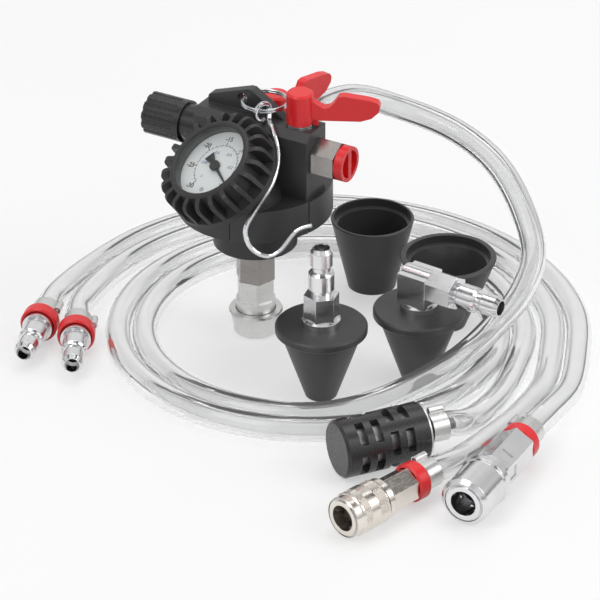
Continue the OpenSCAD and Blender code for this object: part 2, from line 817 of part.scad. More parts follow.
module front_lever() {
  color([0.8, 0.12, 0.14]) on_unit() translate([front_valve_x, 0, front_hub_z])
    rotate([0, 0, front_lever_turn]) lever_shape();
}

module rear_lever() {
  color([0.8, 0.12, 0.14]) on_unit() translate([rear_valve_x, rear_valve_y, rear_hub_z])
    rotate([0, 0, rear_lever_turn]) lever_shape();
}

module hose_tail() {
  color([0.8, 0.78, 0.74]) on_rear() difference() {
    union() {
      translate([0, 0, rear_boss_y]) hex(inlet_af, tail_nut_h);
      translate([0, 0, rear_valve_y + seat_reach + 0.1])
        cylinder(r = venturi_bore_d / 2 - fit, h = rear_boss_y - rear_valve_y - seat_reach + 0.4);
      translate([0, 0, tail_y - 1]) cylinder(r = barb_r, h = barb_len + 1);
    }
    translate([0, 0, rear_valve_y]) cylinder(d = 5, h = 60);
  }
}

module split_ring() {
  at = turned([tab_hole_x + ring_mean_r, tab_y, ring_z]);
  color([0.82, 0.83, 0.85]) translate(at) rotate_extrude() translate([ring_mean_r, 0]) {
    translate([0, ring_wire_d * 0.42]) circle(d = ring_wire_d, $fn = 24);
    translate([0, -ring_wire_d * 0.42]) circle(d = ring_wire_d, $fn = 24);
  }
}

module s_hook() {
  color([0.84, 0.85, 0.87]) bar(eased(hook_knots, 2), hook_wire_d / 2, 10);
}

// Gauge

module gauge_case() {
  color([0.62, 0.63, 0.65]) on_gauge() difference() {
    translate([0, 0, -case_back]) cylinder(r = case_r, h = case_h);
    translate([0, 0, -case_back + case_wall]) cylinder(r = case_r - case_wall, h = case_h);
    translate([0, 0, -case_back - 1]) cylinder(r = stem_d / 2 + fit, h = 4);
  }
}

module gauge_stem() {
  color([0.75, 0.6, 0.3]) on_gauge() {
    translate([0, 0, -case_back - stem_len]) cylinder(d = stem_d, h = stem_len + 4);
    translate([0, 0, -case_back + 1.3]) cylinder(d = stem_d + 4, h = 2.7);
  }
}

module gauge_bourdon() {
  tube_r = case_r - 6.5;
  color([0.78, 0.6, 0.32]) on_gauge() translate([0, 0, -case_back + 4]) {
    rotate_extrude(angle = 270) translate([tube_r, 0]) square([1.6, 5]);
    translate([4, 0, 0]) cube([tube_r - 2.6, 3, 5]);
  }
}

module gauge_dial() {
  color([0.95, 0.95, 0.94]) on_gauge() translate([0, 0, dial_s])
    ring(case_r - case_wall - 0.1, spindle_d / 2 + 0.1, dial_t);
}

module gauge_needle() {
  up = dial_s + dial_t + 0.7;
  color([0.05, 0.05, 0.05]) on_gauge() rotate([0, 0, needle_rest]) {
    translate([0, 0, dial_s - 1.8]) cylinder(d = spindle_d, h = up - dial_s + 2.6);
    translate([0, 0, up]) cylinder(d = 5.2, h = 1);
    translate([0, 0, up]) linear_extrude(0.6)
      polygon([[-7.4, 2.6], [-7.4, -2.6], [-2, -0.9], [needle_len, -0.25], [needle_len, 0.25], [-2, 0.9]]);
  }
}

module gauge_lens() {
  color([0.85, 0.9, 0.93, 0.3]) on_gauge() translate([0, 0, lens_s])
    cylinder(r = case_r - case_wall - 0.1, h = lens_t);
}

module boot_core() {
  rotate_extrude()
    polygon([
      [case_r + fit, -boot_back],
      [boot_d / 2 - 0.8, -boot_back],
      [boot_d / 2, -boot_back + 0.8],
      [boot_d / 2, -boot_back + boot_ring_t],
      [case_r + 2.4, -boot_back + boot_ring_t + 0.6],
      [case_r + 1.5, boot_front - 2.6],
      [case_r + 1.1, boot_front - 0.9],
      [case_r + 0.2, boot_front],
      [boot_mouth_d / 2 + 0.5, boot_front],
      [boot_mouth_d / 2, boot_front - 0.6],
      [boot_mouth_d / 2, boot_front - 1.4],
      [case_r + fit, boot_front - 1.4]
    ]);
}

// grip ribs with rounded shoulders, cut out of a turned envelope
module boot_ribs_all() {
  top = boot_d / 2 - 0.1;
  intersection() {
    rotate_extrude()
      polygon([
        [case_r + 0.8, -boot_back + 1],
        [top, -boot_back + 1],
        [top, boot_front - 4.4],
        [top - 0.5, boot_front - 2.8],
        [top - 1.6, boot_front - 1.5],
        [top - 3.2, boot_front - 0.8],
        [case_r + 0.8, boot_front - 0.7]
      ]);
    union() {
      for (k = [0:boot_ribs - 1])
        rotate([0, 0, 360 / boot_ribs * k])
          translate([case_r + 4, 0, 0])
            rotate([rib_slant, 0, 0])
              translate([-4.5, -rib_t / 2, -boot_h])
                cube([11, rib_t, 2 * boot_h]);
    }
  }
}

module gauge_boot() {
  color([0.16, 0.16, 0.17]) on_gauge() {
    boot_core();
    boot_ribs_all();
  }
}

// Quick sockets: mouth at the local origin, local upright axis pointing out of the mouth

module socket_barrel(guide, barrel_len, stop_r, stop_h) {
  ball_z = -guide - lock_ball_r - 0.4;
  difference() {
    union() {
      translate([0, 0, -barrel_len]) cylinder(r = barrel_r, h = barrel_len);
      translate([0, 0, -barrel_len - stop_h]) cylinder(r = stop_r, h = stop_h);
    }
    translate([0, 0, -guide - eps]) cylinder(r = socket_r, h = guide + 1);
    translate([0, 0, -barrel_len - stop_h + 3])
      cylinder(r = socket_r + 0.35, h = barrel_len + stop_h - 3 - guide);
    translate([0, 0, -barrel_len - stop_h - 1]) cylinder(d = plug_bore_d, h = 6);
    for (k = [0:lock_balls - 1])
      rotate([0, 0, 360 / lock_balls * k])
        translate([0, 0, ball_z])
          rotate([0, 90, 0])
            cylinder(r = lock_ball_r + fit, h = barrel_r + 2, $fn = 32);
    // groove of the snap ring
    translate([0, 0, -1.6]) ring(barrel_r + 1, barrel_r - 0.5, 1);
  }
}

module socket_balls(guide) {
  for (k = [0:lock_balls - 1])
    rotate([0, 0, 360 / lock_balls * k])
      translate([barrel_r - lock_ball_r - fit, 0, -guide - lock_ball_r - 0.4])
        sphere(r = lock_ball_r, $fn = 24);
}

module socket_seal(depth) {
  translate([0, 0, -depth]) rotate_extrude() translate([socket_r + 0.35 - 0.95, 0]) circle(r = 0.9, $fn = 20);
}

module snap_ring() {
  translate([0, 0, -1.6]) ring(barrel_r + 0.7, barrel_r - 0.45, 0.95);
}

// sleeve with a land over the locking balls and a pocket for its spring
module sleeve_inside(guide, sleeve_len) {
  land_end = guide + 2 * lock_ball_r + 0.9;
  translate([0, 0, -sleeve_len - 2]) cylinder(r = land_r, h = sleeve_len + 3);
  translate([0, 0, -2.2]) cylinder(r = barrel_r + 1, h = 4);
  translate([0, 0, -sleeve_len - 2]) cylinder(r = pocket_r, h = sleeve_len + 2 - land_end);
}

function spring_route(r, z0, z1) = [
  for (k = [0:10 * spring_turns])
    [r * cos(36 * k), r * sin(36 * k), z0 + (z1 - z0) * k / (10 * spring_turns)]
];

module sleeve_spring(guide, stop) {
  front = -(guide + 2 * lock_ball_r + 0.9) - spring_wire_d / 2 - 0.1;
  back = -stop + spring_wire_d / 2 + 0.1;
  bar(spring_route(barrel_r + 0.9, back, front), spring_wire_d / 2, 6);
}

// Head socket

module at_unit_socket() {
  on_unit() rotate([180, 0, 0]) children();
}

unit_stop = unit_sleeve_len;
unit_stop_h = 6;

module outlet_adaptor() {
  color([0.78, 0.78, 0.79]) on_unit() difference() {
    union() {
      translate([0, 0, unit_socket_len]) rotate([0, 0, 12]) hex(unit_hex_af, neck_z - unit_socket_len);
      translate([0, 0, neck_z - 1]) cylinder(d = 13, h = 10);
    }
    translate([0, 0, unit_socket_len - 1]) cylinder(d = 7, h = 40);
  }
}

module unit_socket() {
  color([0.8, 0.8, 0.81]) at_unit_socket() {
    socket_barrel(unit_guide, unit_stop, pocket_r - gap, unit_stop_h);
    translate([0, 0, -unit_socket_len]) difference() {
      rotate([0, 0, -4]) hex(unit_hex_af, unit_socket_len - unit_stop - unit_stop_h + 1);
      translate([0, 0, -1]) cylinder(d = plug_bore_d, h = 40);
    }
  }
}

module unit_sleeve() {
  color([0.7, 0.7, 0.7]) at_unit_socket() difference() {
    rotate_extrude()
      polygon([
        [0, -0.6],
        [unit_nose_d / 2 - 0.6, -0.6],
        [unit_nose_d / 2, -1.2],
        [unit_nose_d / 2, -4.4],
        [unit_sleeve_d / 2 - 0.4, -unit_sleeve_len + 0.9],
        [unit_sleeve_d / 2, -unit_sleeve_len + 0.4],
        [unit_sleeve_d / 2 - 0.5, -unit_sleeve_len - 0.6],
        [0, -unit_sleeve_len - 0.6]
      ]);
    sleeve_inside(unit_guide, unit_sleeve_len);
  }
}

module unit_spring() {
  color([0.7, 0.71, 0.73]) at_unit_socket() sleeve_spring(unit_guide, unit_stop);
}

// Large hose coupler

module big_mouth() {
  lying(big_at, big_turn) translate([0, 0, big_len]) children();
}

module hose_tail_of(hex_af, hex_from, total) {
  // hex, shoulder under the red ring, and barb in the hose
  difference() {
    union() {
      translate([0, 0, -total + ring_len]) hex(hex_af, total - ring_len - hex_from);
      translate([0, 0, -total]) cylinder(r = shoulder_r, h = ring_len + 1);
      translate([0, 0, -total - barb_len]) cylinder(r = barb_r, h = barb_len + 1);
    }
    translate([0, 0, -total - barb_len - 1]) cylinder(d = 4.4, h = total + barb_len);
  }
}

module big_socket() {
  color([0.82, 0.83, 0.84]) big_mouth() {
    socket_barrel(hose_guide, hose_barrel_len, pocket_r - gap, 7.5);
    difference() {
      hose_tail_of(big_hex_af, hose_barrel_len + 7.5, big_len);
      // lightening windows on the hex flats
      for (k = [0:5]) rotate([0, 0, 30 + 60 * k])
        translate([big_hex_af / 2 - 0.5, -3, -hose_barrel_len - 16]) cube([3, 6, 6]);
    }
  }
}

module big_sleeve() {
  color([0.8, 0.81, 0.83]) big_mouth() difference() {
    rotate_extrude()
      polygon([
        [0, -0.4],
        [big_d / 2 - 2.4, -0.4],
        [big_d / 2 - 0.6, -2],
        [big_d / 2 - 0.6, -big_sleeve_len + 5],
        [big_d / 2, -big_sleeve_len + 4],
        [big_d / 2, -big_sleeve_len + 0.8],
        [big_d / 2 - 0.8, -big_sleeve_len],
        [0, -big_sleeve_len]
      ]);
    sleeve_inside(hose_guide, big_sleeve_len);
  }
}

module big_spring() {
  color([0.7, 0.71, 0.73]) big_mouth() sleeve_spring(hose_guide, hose_barrel_len);
}

// Small hose coupler

module small_mouth() {
  lying(small_at, small_turn) translate([0, 0, small_len]) children();
}

module small_socket() {
  color([0.78, 0.74, 0.68]) small_mouth() {
    socket_barrel(hose_guide, hose_barrel_len, pocket_r - gap, 3);
    hose_tail_of(small_hex_af, hose_barrel_len + 3, small_len);
  }
}

module small_sleeve() {
  color([0.76, 0.72, 0.66]) small_mouth() difference() {
    rotate_extrude()
      polygon([
        [0, -0.4],
        [small_d / 2 - 1, -0.4],
        [small_d / 2 - 0.6, -0.8],
        [small_d / 2 - 0.6, -4],
        [small_d / 2, -4.6],
        [small_d / 2, -small_sleeve_len + 0.7],
        [small_d / 2 - 0.7, -small_sleeve_len],
        [0, -small_sleeve_len]
      ]);
    sleeve_inside(hose_guide, small_sleeve_len);
    // two bands of grip flutes with a smooth waist between them
    for (k = [0:29]) rotate([0, 0, 12 * k]) {
      translate([small_d / 2 + 0.4, 0, -small_sleeve_len + 1.2]) cylinder(d = 1.4, h = 5, $fn = 12);
      translate([small_d / 2 + 0.4, 0, -9]) cylinder(d = 1.4, h = 3.6, $fn = 12);
    }
  }
}

module small_spring() {
  color([0.7, 0.71, 0.73]) small_mouth() sleeve_spring(hose_guide, hose_barrel_len);
}

module lock_balls_all() {
  color([0.85, 0.85, 0.86]) {
    at_unit_socket() socket_balls(unit_guide);
    big_mouth() socket_balls(hose_guide);
    small_mouth() socket_balls(hose_guide);
  }
}

module socket_seals() {
  color([0.08, 0.08, 0.08]) {
    at_unit_socket() socket_seal(9);
    big_mouth() socket_seal(15);
    small_mouth() socket_seal(15);
  }
}

module snap_rings() {
  color([0.55, 0.56, 0.58]) {
    at_unit_socket() snap_ring();
    big_mouth() snap_ring();
    small_mouth() snap_ring();
  }
}

// Plugs

// plug nose: its shoulder at the local origin, its tip at plug_len
module plug_nose() {
  rotate_extrude()
    polygon([
      [0, -1],
      [plug_r - 1, -1],
      [plug_r - 1, 2.2],
      [plug_r, 3],
      [plug_r, 3 + plug_land],
      [plug_r - 0.9, 4 + plug_land],
      [nose_d / 2 - 0.9, 4.2 + plug_land],
      [nose_d / 2 - 0.9, 6.4 + plug_land],
      [nose_d / 2, 7.2 + plug_land],
      [nose_d / 2, plug_len - 2],
      [nose_d / 2 - 1.2, plug_len],
      [0, plug_len]
    ]);
}

// wide end of the bore, seen at the tip
module tip_bore() {
  translate([0, 0, plug_len - 7]) cylinder(d = tip_bore_d, h = 8);
}

module hose_plug() {
  difference() {
    union() {
      translate([0, 0, -barb_len]) cylinder(r = barb_r, h = barb_len + 1);
      cylinder(r = shoulder_r, h = ring_len + 1);
      translate([0, 0, ring_len]) cylinder(d = plug_d + 2.6, h = 2.6);
      translate([0, 0, ring_len + 2.6]) plug_nose();
    }
    translate([0, 0, -barb_len - 1]) cylinder(d = plug_bore_d, h = barb_len + ring_len + plug_len + 5);
    translate([0, 0, ring_len + 2.6]) tip_bore();
  }
}

module left_plug() {
  color([0.84, 0.85, 0.86]) lying(plug_a, plug_a_turn) hose_plug();
}
module right_plug() {
  color([0.84, 0.85, 0.86]) lying(plug_b, plug_b_turn) hose_plug();
}

module red_ring() {
  rotate_extrude()
    polygon([
      [shoulder_r + fit, 0],
      [ring_d / 2 - 0.6, 0],
      [ring_d / 2, 0.6],
      [ring_d / 2, ring_len - 0.6],
      [ring_d / 2 - 0.6, ring_len],
      [shoulder_r + fit + 1.6, ring_len],
      [shoulder_r + fit + 1.2, ring_len - 1.6],
      [shoulder_r + fit, ring_len - 1.6]
    ]);
}

module red_rings() {
  color([0.8, 0.12, 0.14]) {
    lying(plug_a, plug_a_turn) red_ring();
    lying(plug_b, plug_b_turn) red_ring();
    lying(big_at, big_turn) red_ring();
    lying(small_at, small_turn) red_ring();
  }
}

// band clamp with a rolled ear along the hose
module clamp(turn) {
  rotate([0, 0, turn]) translate([0, 0, -1.5 - clamp_w]) difference() {
    union() {
      cylinder(r = clamp_r + clamp_t, h = clamp_w);
      translate([clamp_r + 0.2, -ear_d / 3, 0.5]) cube([ear_d / 2, ear_d / 1.5, clamp_w - 1]);
      translate([ear_r, 0, 0.5]) cylinder(d = ear_d, h = clamp_w - 1, $fn = 24);
    }
    translate([0, 0, -1]) cylinder(r = clamp_r, h = clamp_w + 2);
    translate([ear_r, 0, -1]) cylinder(d = ear_d - 2 * clamp_t, h = clamp_w + 2, $fn = 24);
  }
}

module hose_clamps() {
  color([0.75, 0.75, 0.76]) {
    lying(plug_a, plug_a_turn) clamp(120);
    lying(plug_b, plug_b_turn) clamp(100);
    lying(big_at, big_turn) clamp(235);
    lying(small_at, small_turn) clamp(215);
    lying(strainer_at, strainer_turn) clamp(195);
    on_rear() translate([0, 0, tail_y]) rotate([180, 0, 0]) clamp(90);
  }
}

module hose_a() {
  color([0.86, 0.88, 0.88]) tube(route_a, hose_r, hose_bore_d / 2, hose_sides);
}
module hose_b() {
  color([0.86, 0.88, 0.88]) tube(route_b, hose_r, hose_bore_d / 2, hose_sides);
}
module hose_c() {
  color([0.86, 0.88, 0.88]) tube(route_c, hose_r, hose_bore_d / 2, hose_sides);
}

// Strainer

strainer_neck = 3;

module slot_row(z) {
  translate([0, 0, z]) difference() {
    ring(strainer_d / 2 + 1, strainer_d / 2 - strainer_wall - 1, slot_w);
    for (k = [0:slot_count - 1])
      rotate([0, 0, 360 / slot_count * k])
        translate([0, -slot_rib / 2, -1])
          cube([strainer_d, slot_rib, slot_w + 2]);
  }
}

module strainer_body() {
  pitch = (strainer_len - 11) / slot_rows;
  color([0.12, 0.12, 0.13]) lying(strainer_at, strainer_turn) difference() {
    union() {
      translate([0, 0, strainer_neck]) cylinder(d = strainer_d, h = strainer_len - 1.2);
      translate([0, 0, strainer_neck + strainer_len - 1.2])
        cylinder(d1 = strainer_d, d2 = strainer_d - 2.4, h = 1.2);
      cylinder(d = 17, h = strainer_neck + 1);
      translate([0, 0, -barb_len]) cylinder(r = barb_r, h = barb_len + 1);
    }
    translate([0, 0, strainer_neck + 4]) cylinder(r = strainer_d / 2 - strainer_wall, h = strainer_len - 7);
    translate([0, 0, -barb_len - 1]) cylinder(d = 4.4, h = barb_len + 10);
    // the rows come in two halves, staggered by half a slot
    for (k = [0:slot_rows - 1])
      rotate([0, 0, floor(2 * k / slot_rows) * 180 / slot_count])
        slot_row(strainer_neck + 6 + pitch * (k + 0.5) - slot_w / 2);
  }
}

module strainer_screen() {
  r = strainer_d / 2 - strainer_wall - 0.2;
  color([0.7, 0.71, 0.72]) lying(strainer_at, strainer_turn)
    translate([0, 0, strainer_neck + 4.1]) ring(r, r - 0.8, strainer_len - 7.2);
}

// Rubber stoppers and cups

module stopper(x, y) {
  translate([x, y, 0]) rotate_extrude()
    polygon([
      [cone_bore_d / 2, 0],
      [cone_foot_d / 2 - 0.6, 0],
      [cone_foot_d / 2, 0.6],
      [cone_top_d / 2, cone_h],
      [disc_d / 2 - 0.6, cone_h],
      [disc_d / 2, cone_h + 0.6],
      [disc_d / 2, cone_h + disc_t - 0.8],
      [disc_d / 2 - 0.8, cone_h + disc_t],
      [shank_d / 2 + fit, cone_h + disc_t],
      [shank_d / 2 + fit, cone_h + disc_t - shank_len - 0.3],
      [cone_bore_d / 2, cone_h + disc_t - shank_len - 0.3]
    ]);
}

module straight_stopper() {
  color([0.14, 0.14, 0.15]) stopper(straight_x, straight_y);
}
module elbow_stopper() {
  color([0.14, 0.14, 0.15]) stopper(elbow_x, elbow_y);
}

module shank_and_collar() {
  translate([0, 0, -shank_len]) cylinder(d = shank_d, h = shank_len + 1);
  cylinder(d = collar_d, h = collar_t - 0.8);
  translate([0, 0, collar_t - 0.8]) cylinder(d1 = collar_d, d2 = collar_d - 2, h = 0.8);
}

module straight_plug() {
  color([0.84, 0.85, 0.86]) translate([straight_x, straight_y, cone_h + disc_t]) difference() {
    union() {
      shank_and_collar();
      translate([0, 0, collar_t - 0.2]) rotate([0, 0, 11.4]) hex(plug_hex_af, plug_hex_h + 0.2);
      translate([0, 0, collar_t + plug_hex_h]) plug_nose();
    }
    translate([0, 0, -shank_len - 1])
      cylinder(d = plug_bore_d, h = shank_len + collar_t + plug_hex_h + plug_len + 2);
    translate([0, 0, collar_t + plug_hex_h]) tip_bore();
  }
}

module elbow_fitting() {
  half = elbow_w / 2;
  color([0.84, 0.85, 0.86])
  translate([elbow_x, elbow_y, cone_h + disc_t]) rotate([0, 0, elbow_turn]) difference() {
    union() {
      shank_and_collar();
      translate([-half, -half, collar_t - 0.2]) cube([elbow_w, elbow_w, elbow_rise - collar_t + half - 2]);
      translate([-half, 0, elbow_rise]) rotate([0, 90, 0]) cylinder(d = elbow_w - 1, h = elbow_w);
      translate([half - 0.2, 0, elbow_rise]) rotate([0, 90, 0]) hex(plug_hex_af, elbow_nut_h + 0.2);
    }
    translate([0, 0, -shank_len - 1]) cylinder(d = plug_bore_d, h = shank_len + elbow_rise + 1);
    translate([0, 0, elbow_rise]) rotate([0, 90, 0]) cylinder(d = plug_bore_d, h = elbow_w + elbow_nut_h);
    // socket that takes the plug
    translate([half + elbow_nut_h - 6, 0, elbow_rise]) rotate([0, 90, 0]) cylinder(r = plug_r - 1 + fit, h = 8);
  }
}

module elbow_plug() {
  color([0.84, 0.85, 0.86]) translate([elbow_x, elbow_y, cone_h + disc_t]) rotate([0, 0, elbow_turn])
    translate([elbow_w / 2 + elbow_nut_h, 0, elbow_rise]) rotate([0, 90, 0]) difference() {
      union() {
        plug_nose();
        translate([0, 0, -5.8]) cylinder(r = plug_r - 1, h = 6);
      }
      translate([0, 0, -7]) cylinder(d = plug_bore_d, h = plug_len + 8);
      tip_bore();
    }
}

module cup(x, y, rim_d, foot_d, wall) {
  translate([x, y, 0]) rotate_extrude()
    polygon([
      [foot_d / 2 - wall, 0],
      [foot_d / 2, 0],
      [rim_d / 2 - 0.2, cup_h - 0.5],
      [rim_d / 2 - 0.6, cup_h],
      [rim_d / 2 - wall + 0.2, cup_h],
      [rim_d / 2 - wall - 0.1, cup_h - cup_step],
      [rim_d / 2 - wall - 1.6, cup_h - cup_step - 0.4]
    ]);
}

module tall_cup() {
  color([0.15, 0.15, 0.16]) cup(tall_x, tall_y, tall_rim_d, tall_foot_d, tall_wall);
}
module short_cup() {
  color([0.15, 0.15, 0.16]) cup(short_x, short_y, short_rim_d, short_foot_d, short_wall);
}

housing();
silencer_tube();
silencer_cap();
silencer_core();
venturi_jet();
venturi_diffuser();
inlet_fitting();
dust_plug();
front_valve_ball();
rear_valve_ball();
valve_seats();
gland_nuts();
front_lever();
rear_lever();
hose_tail();
split_ring();
s_hook();
gauge_case();
gauge_stem();
gauge_bourdon();
gauge_dial();
gauge_needle();
gauge_lens();
gauge_boot();
outlet_adaptor();
unit_socket();
unit_sleeve();
unit_spring();
big_socket();
big_sleeve();
big_spring();
small_socket();
small_sleeve();
small_spring();
lock_balls_all();
socket_seals();
snap_rings();
left_plug();
right_plug();
red_rings();
hose_clamps();
hose_a();
hose_b();
hose_c();
strainer_body();
strainer_screen();
straight_stopper();
straight_plug();
elbow_stopper();
elbow_fitting();
elbow_plug();
tall_cup();
short_cup();
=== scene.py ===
import math

import bmesh
import bpy
from mathutils import Matrix, Vector


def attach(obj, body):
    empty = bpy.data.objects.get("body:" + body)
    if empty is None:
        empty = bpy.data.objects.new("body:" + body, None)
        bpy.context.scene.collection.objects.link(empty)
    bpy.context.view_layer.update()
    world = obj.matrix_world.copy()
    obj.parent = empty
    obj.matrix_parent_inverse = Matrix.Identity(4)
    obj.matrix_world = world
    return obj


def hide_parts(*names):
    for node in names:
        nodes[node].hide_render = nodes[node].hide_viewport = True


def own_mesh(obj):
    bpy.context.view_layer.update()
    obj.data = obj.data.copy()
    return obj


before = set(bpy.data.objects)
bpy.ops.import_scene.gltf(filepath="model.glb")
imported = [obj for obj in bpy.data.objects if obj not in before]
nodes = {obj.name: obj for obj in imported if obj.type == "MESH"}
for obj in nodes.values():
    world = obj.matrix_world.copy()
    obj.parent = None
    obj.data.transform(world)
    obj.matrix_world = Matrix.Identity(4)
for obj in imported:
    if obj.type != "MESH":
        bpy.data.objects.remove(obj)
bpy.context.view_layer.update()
scene = bpy.context.scene
scene.view_settings.view_transform = "Standard"

MM = 0.001

# Layout in millimetres and degrees, as in part.scad
UNIT_TURN = math.radians(-30)
HOSE_TAIL = (1, 38, 93)
# Where a hose's fitting begins, and the way that it points
OUTER_PLUG, OUTER_PLUG_WAY = (-102.3, -5.9, 9), -101.5
INNER_PLUG, INNER_PLUG_WAY = (-85, -16.7, 9), -91
LARGE_COUPLER, LARGE_COUPLER_WAY = (121.3, -120.6, 12), -118
SMALL_COUPLER, SMALL_COUPLER_WAY = (73.5, -150.9, 10.2), -136
STRAINER, STRAINER_WAY = (78, -114.2, 13.5), -156.4


def heading(angle):
    a = math.radians(angle)
    return Vector((math.cos(a), math.sin(a), 0))


def turned(x, y, z):
    """A place on the purge head, which is turned about the upright axis."""
    c, s = math.cos(UNIT_TURN), math.sin(UNIT_TURN)
    return Vector((x * c - y * s, x * s + y * c, z))


# Camera: the photograph's place and lens
CAMERA_ELEVATION = math.radians(29.5)
CAMERA_PLACE = (0.02115, -1.5598, 0.8985)
CAMERA_LENS = 224.64
CAMERA_SENSOR = 36
CAMERA_CLIP = (0.1, 20)


def make_camera():
    data = bpy.data.cameras.new("camera")
    data.sensor_width = CAMERA_SENSOR
    data.lens = CAMERA_LENS
    data.clip_start, data.clip_end = CAMERA_CLIP
    cam = bpy.data.objects.new("camera", data)
    scene.collection.objects.link(cam)
    c, s = math.cos(CAMERA_ELEVATION), math.sin(CAMERA_ELEVATION)
    right, up, back = Vector((1, 0, 0)), Vector((0, s, c)), Vector((0, -c, s))
    turn = Matrix((right, up, back)).transposed().to_4x4()
    cam.matrix_world = Matrix.Translation(Vector(CAMERA_PLACE)) @ turn
    scene.camera = cam


make_camera()


# Material helpers
class Tree:
    """The node tree of a material or of the world, with its output node."""

    def __init__(self, owner, output):
        owner.use_nodes = True
        self.owner = owner
        self.nodes = owner.node_tree.nodes
        self.links = owner.node_tree.links
        self.nodes.clear()
        self.out = self.nodes.new(output)

    def put(self, node, key, value):
        """Links a socket to an input, or writes a number or colour on it."""
        if isinstance(value, bpy.types.NodeSocket):
            self.links.new(value, node.inputs[key])
        else:
            node.inputs[key].default_value = value

    def add(self, kind, **inputs):
        """A new node. An input's name has _ for each space."""
        node = self.nodes.new(kind)
        for key, value in inputs.items():
            self.put(node, key.replace("_", " "), value)
        return node

    def maths(self, kind, operation, *values):
        """A new Math or Vector Math node on these values."""
        node = self.nodes.new(kind)
        node.operation = operation
        for k, value in enumerate(values):
            self.put(node, k, value)
        return node

    def surface(self, shader):
        """Shows the shader, and gives back the finished material or world."""
        self.put(self.out, "Surface", shader)
        return self.owner


def material(name):
    return Tree(bpy.data.materials.new(name), "ShaderNodeOutputMaterial")


def rgba(colour):
    return (*colour, 1.0)


def grey(level):
    return (level, level, level)


def ramp(t, fac, stops):
    node = t.add("ShaderNodeValToRGB", Fac=fac)
    elements = node.color_ramp.elements
    while len(elements) < len(stops):
        elements.new(0.5)
    for element, (place, colour) in zip(elements, stops):
        element.position = place
        element.color = rgba(colour)
    return node.outputs["Color"]


def value_range(t, value, low, high, to_low, to_high):
    node = t.add(
        "ShaderNodeMapRange",
        Value=value, From_Min=low, From_Max=high, To_Min=to_low, To_Max=to_high,
    )
    return node.outputs["Result"]


def noise(t, scale, detail=4.0, rough=0.55, coords=None, stretch=None):
    where = coords or t.add("ShaderNodeTexCoord").outputs["Object"]
    if stretch:
        where = t.add("ShaderNodeMapping", Vector=where, Scale=stretch).outputs["Vector"]
    node = t.add("ShaderNodeTexNoise", Vector=where, Scale=scale, Detail=detail, Roughness=rough)
    return node.outputs["Fac"]


def noise_range(t, fac, low, high):
    """Noise over the middle of its range, as a value from low to high."""
    return value_range(t, fac, 0.3, 0.7, low, high)


def noise_ramp(t, fac, low, high):
    """Noise over the middle of its range, as a colour from low to high."""
    return ramp(t, fac, [(0.3, low), (0.7, high)])


def rounded_normal(t, radius):
    node = t.add("ShaderNodeBevel", Radius=radius)
    node.samples = 4
    return node.outputs["Normal"]


def bevel_bump(t, radius, height, strength, distance):
    node = t.add(
        "ShaderNodeBump",
        Strength=strength, Distance=distance, Height=height, Normal=rounded_normal(t, radius),
    )
    return node.outputs["Normal"]


def edge_mask(t, radius):
    """Bright along edges, from the angle between the rounded and the true normal."""
    normal = t.add("ShaderNodeNewGeometry").outputs["Normal"]
    dot = t.maths("ShaderNodeVectorMath", "DOT_PRODUCT", rounded_normal(t, radius), normal)
    return value_range(t, dot.outputs["Value"], 0.99, 0.75, 0.0, 1.0)


def inside_mask(t):
    """One where a hollow piece faces its own upright axis, nought outside."""
    where = t.add("ShaderNodeTexCoord").outputs["Generated"]
    middle = t.maths("ShaderNodeVectorMath", "SUBTRACT", where, (0.5, 0.5, 0.5))
    flat = t.maths("ShaderNodeVectorMath", "MULTIPLY", middle.outputs["Vector"], (1, 1, 0))
    normal = t.add("ShaderNodeNewGeometry").outputs["Normal"]
    out = t.maths("ShaderNodeVectorMath", "DOT_PRODUCT", flat.outputs["Vector"], normal)
    return value_range(t, out.outputs["Value"], -0.03, -0.01, 1.0, 0.0)


def mixed(t, factor, first, second):
    node = t.add("ShaderNodeMixShader", Fac=factor)
    t.put(node, 1, first)
    t.put(node, 2, second)
    return node.outputs["Shader"]


# Finishes
CLOUD_SCALE = 28
EDGE_R = 0.6 * MM
MOULDED_BEVEL = 0.4 * MM
MOULDED_BUMP = 0.35
PLATED_CLOUD_SCALE = 60
PLATED_BEVEL = 0.3 * MM
PLATED_LINE_DEPTH = 0.12 * MM
KNURL_BEVEL = 0.04 * MM
HOSE_IOR = 1.38
HOSE_MILK = 0.14
LENS_IOR = 1.4


def moulded(name, dark, light, edge, rough, grain, bump_mm, inside_rough=None):
    """Moulded plastic or rubber: clouded colour, fine grain and paler edges."""
    t = material(name)
    fine = noise(t, grain, detail=6, rough=0.6)
    colour = t.add("ShaderNodeMix", Factor=edge_mask(t, EDGE_R))
    colour.data_type = "RGBA"
    t.put(colour, 6, noise_ramp(t, noise(t, CLOUD_SCALE, detail=3), dark, light))
    t.put(colour, 7, rgba(edge))
    roughness = noise_range(t, fine, *rough)
    if inside_rough:
        blend = t.add("ShaderNodeMix", Factor=inside_mask(t))
        t.put(blend, 2, roughness)
        t.put(blend, 3, inside_rough)
        roughness = blend.outputs[0]
    shader = t.add(
        "ShaderNodeBsdfPrincipled",
        Base_Color=colour.outputs[2],
        Roughness=roughness,
        Normal=bevel_bump(t, MOULDED_BEVEL, fine, MOULDED_BUMP, bump_mm * MM),
    )
    return t.surface(shader.outputs["BSDF"])


def plated(name, tint, dim, rough, lines, stretch=(1, 1, 9), bump=0.12, bevel=PLATED_BEVEL):
    """Plated metal with drawn or turned lines, soft cloudy variation and rounded edges."""
    t = material(name)
    line = noise(t, lines, detail=5, rough=0.65, stretch=stretch)
    shader = t.add(
        "ShaderNodeBsdfPrincipled",
        Base_Color=ramp(t, noise(t, PLATED_CLOUD_SCALE), [(0.25, dim), (0.75, tint)]),
        Metallic=1.0,
        Roughness=noise_range(t, line, *rough),
        Normal=bevel_bump(t, bevel, line, bump, PLATED_LINE_DEPTH),
    )
    return t.surface(shader.outputs["BSDF"])


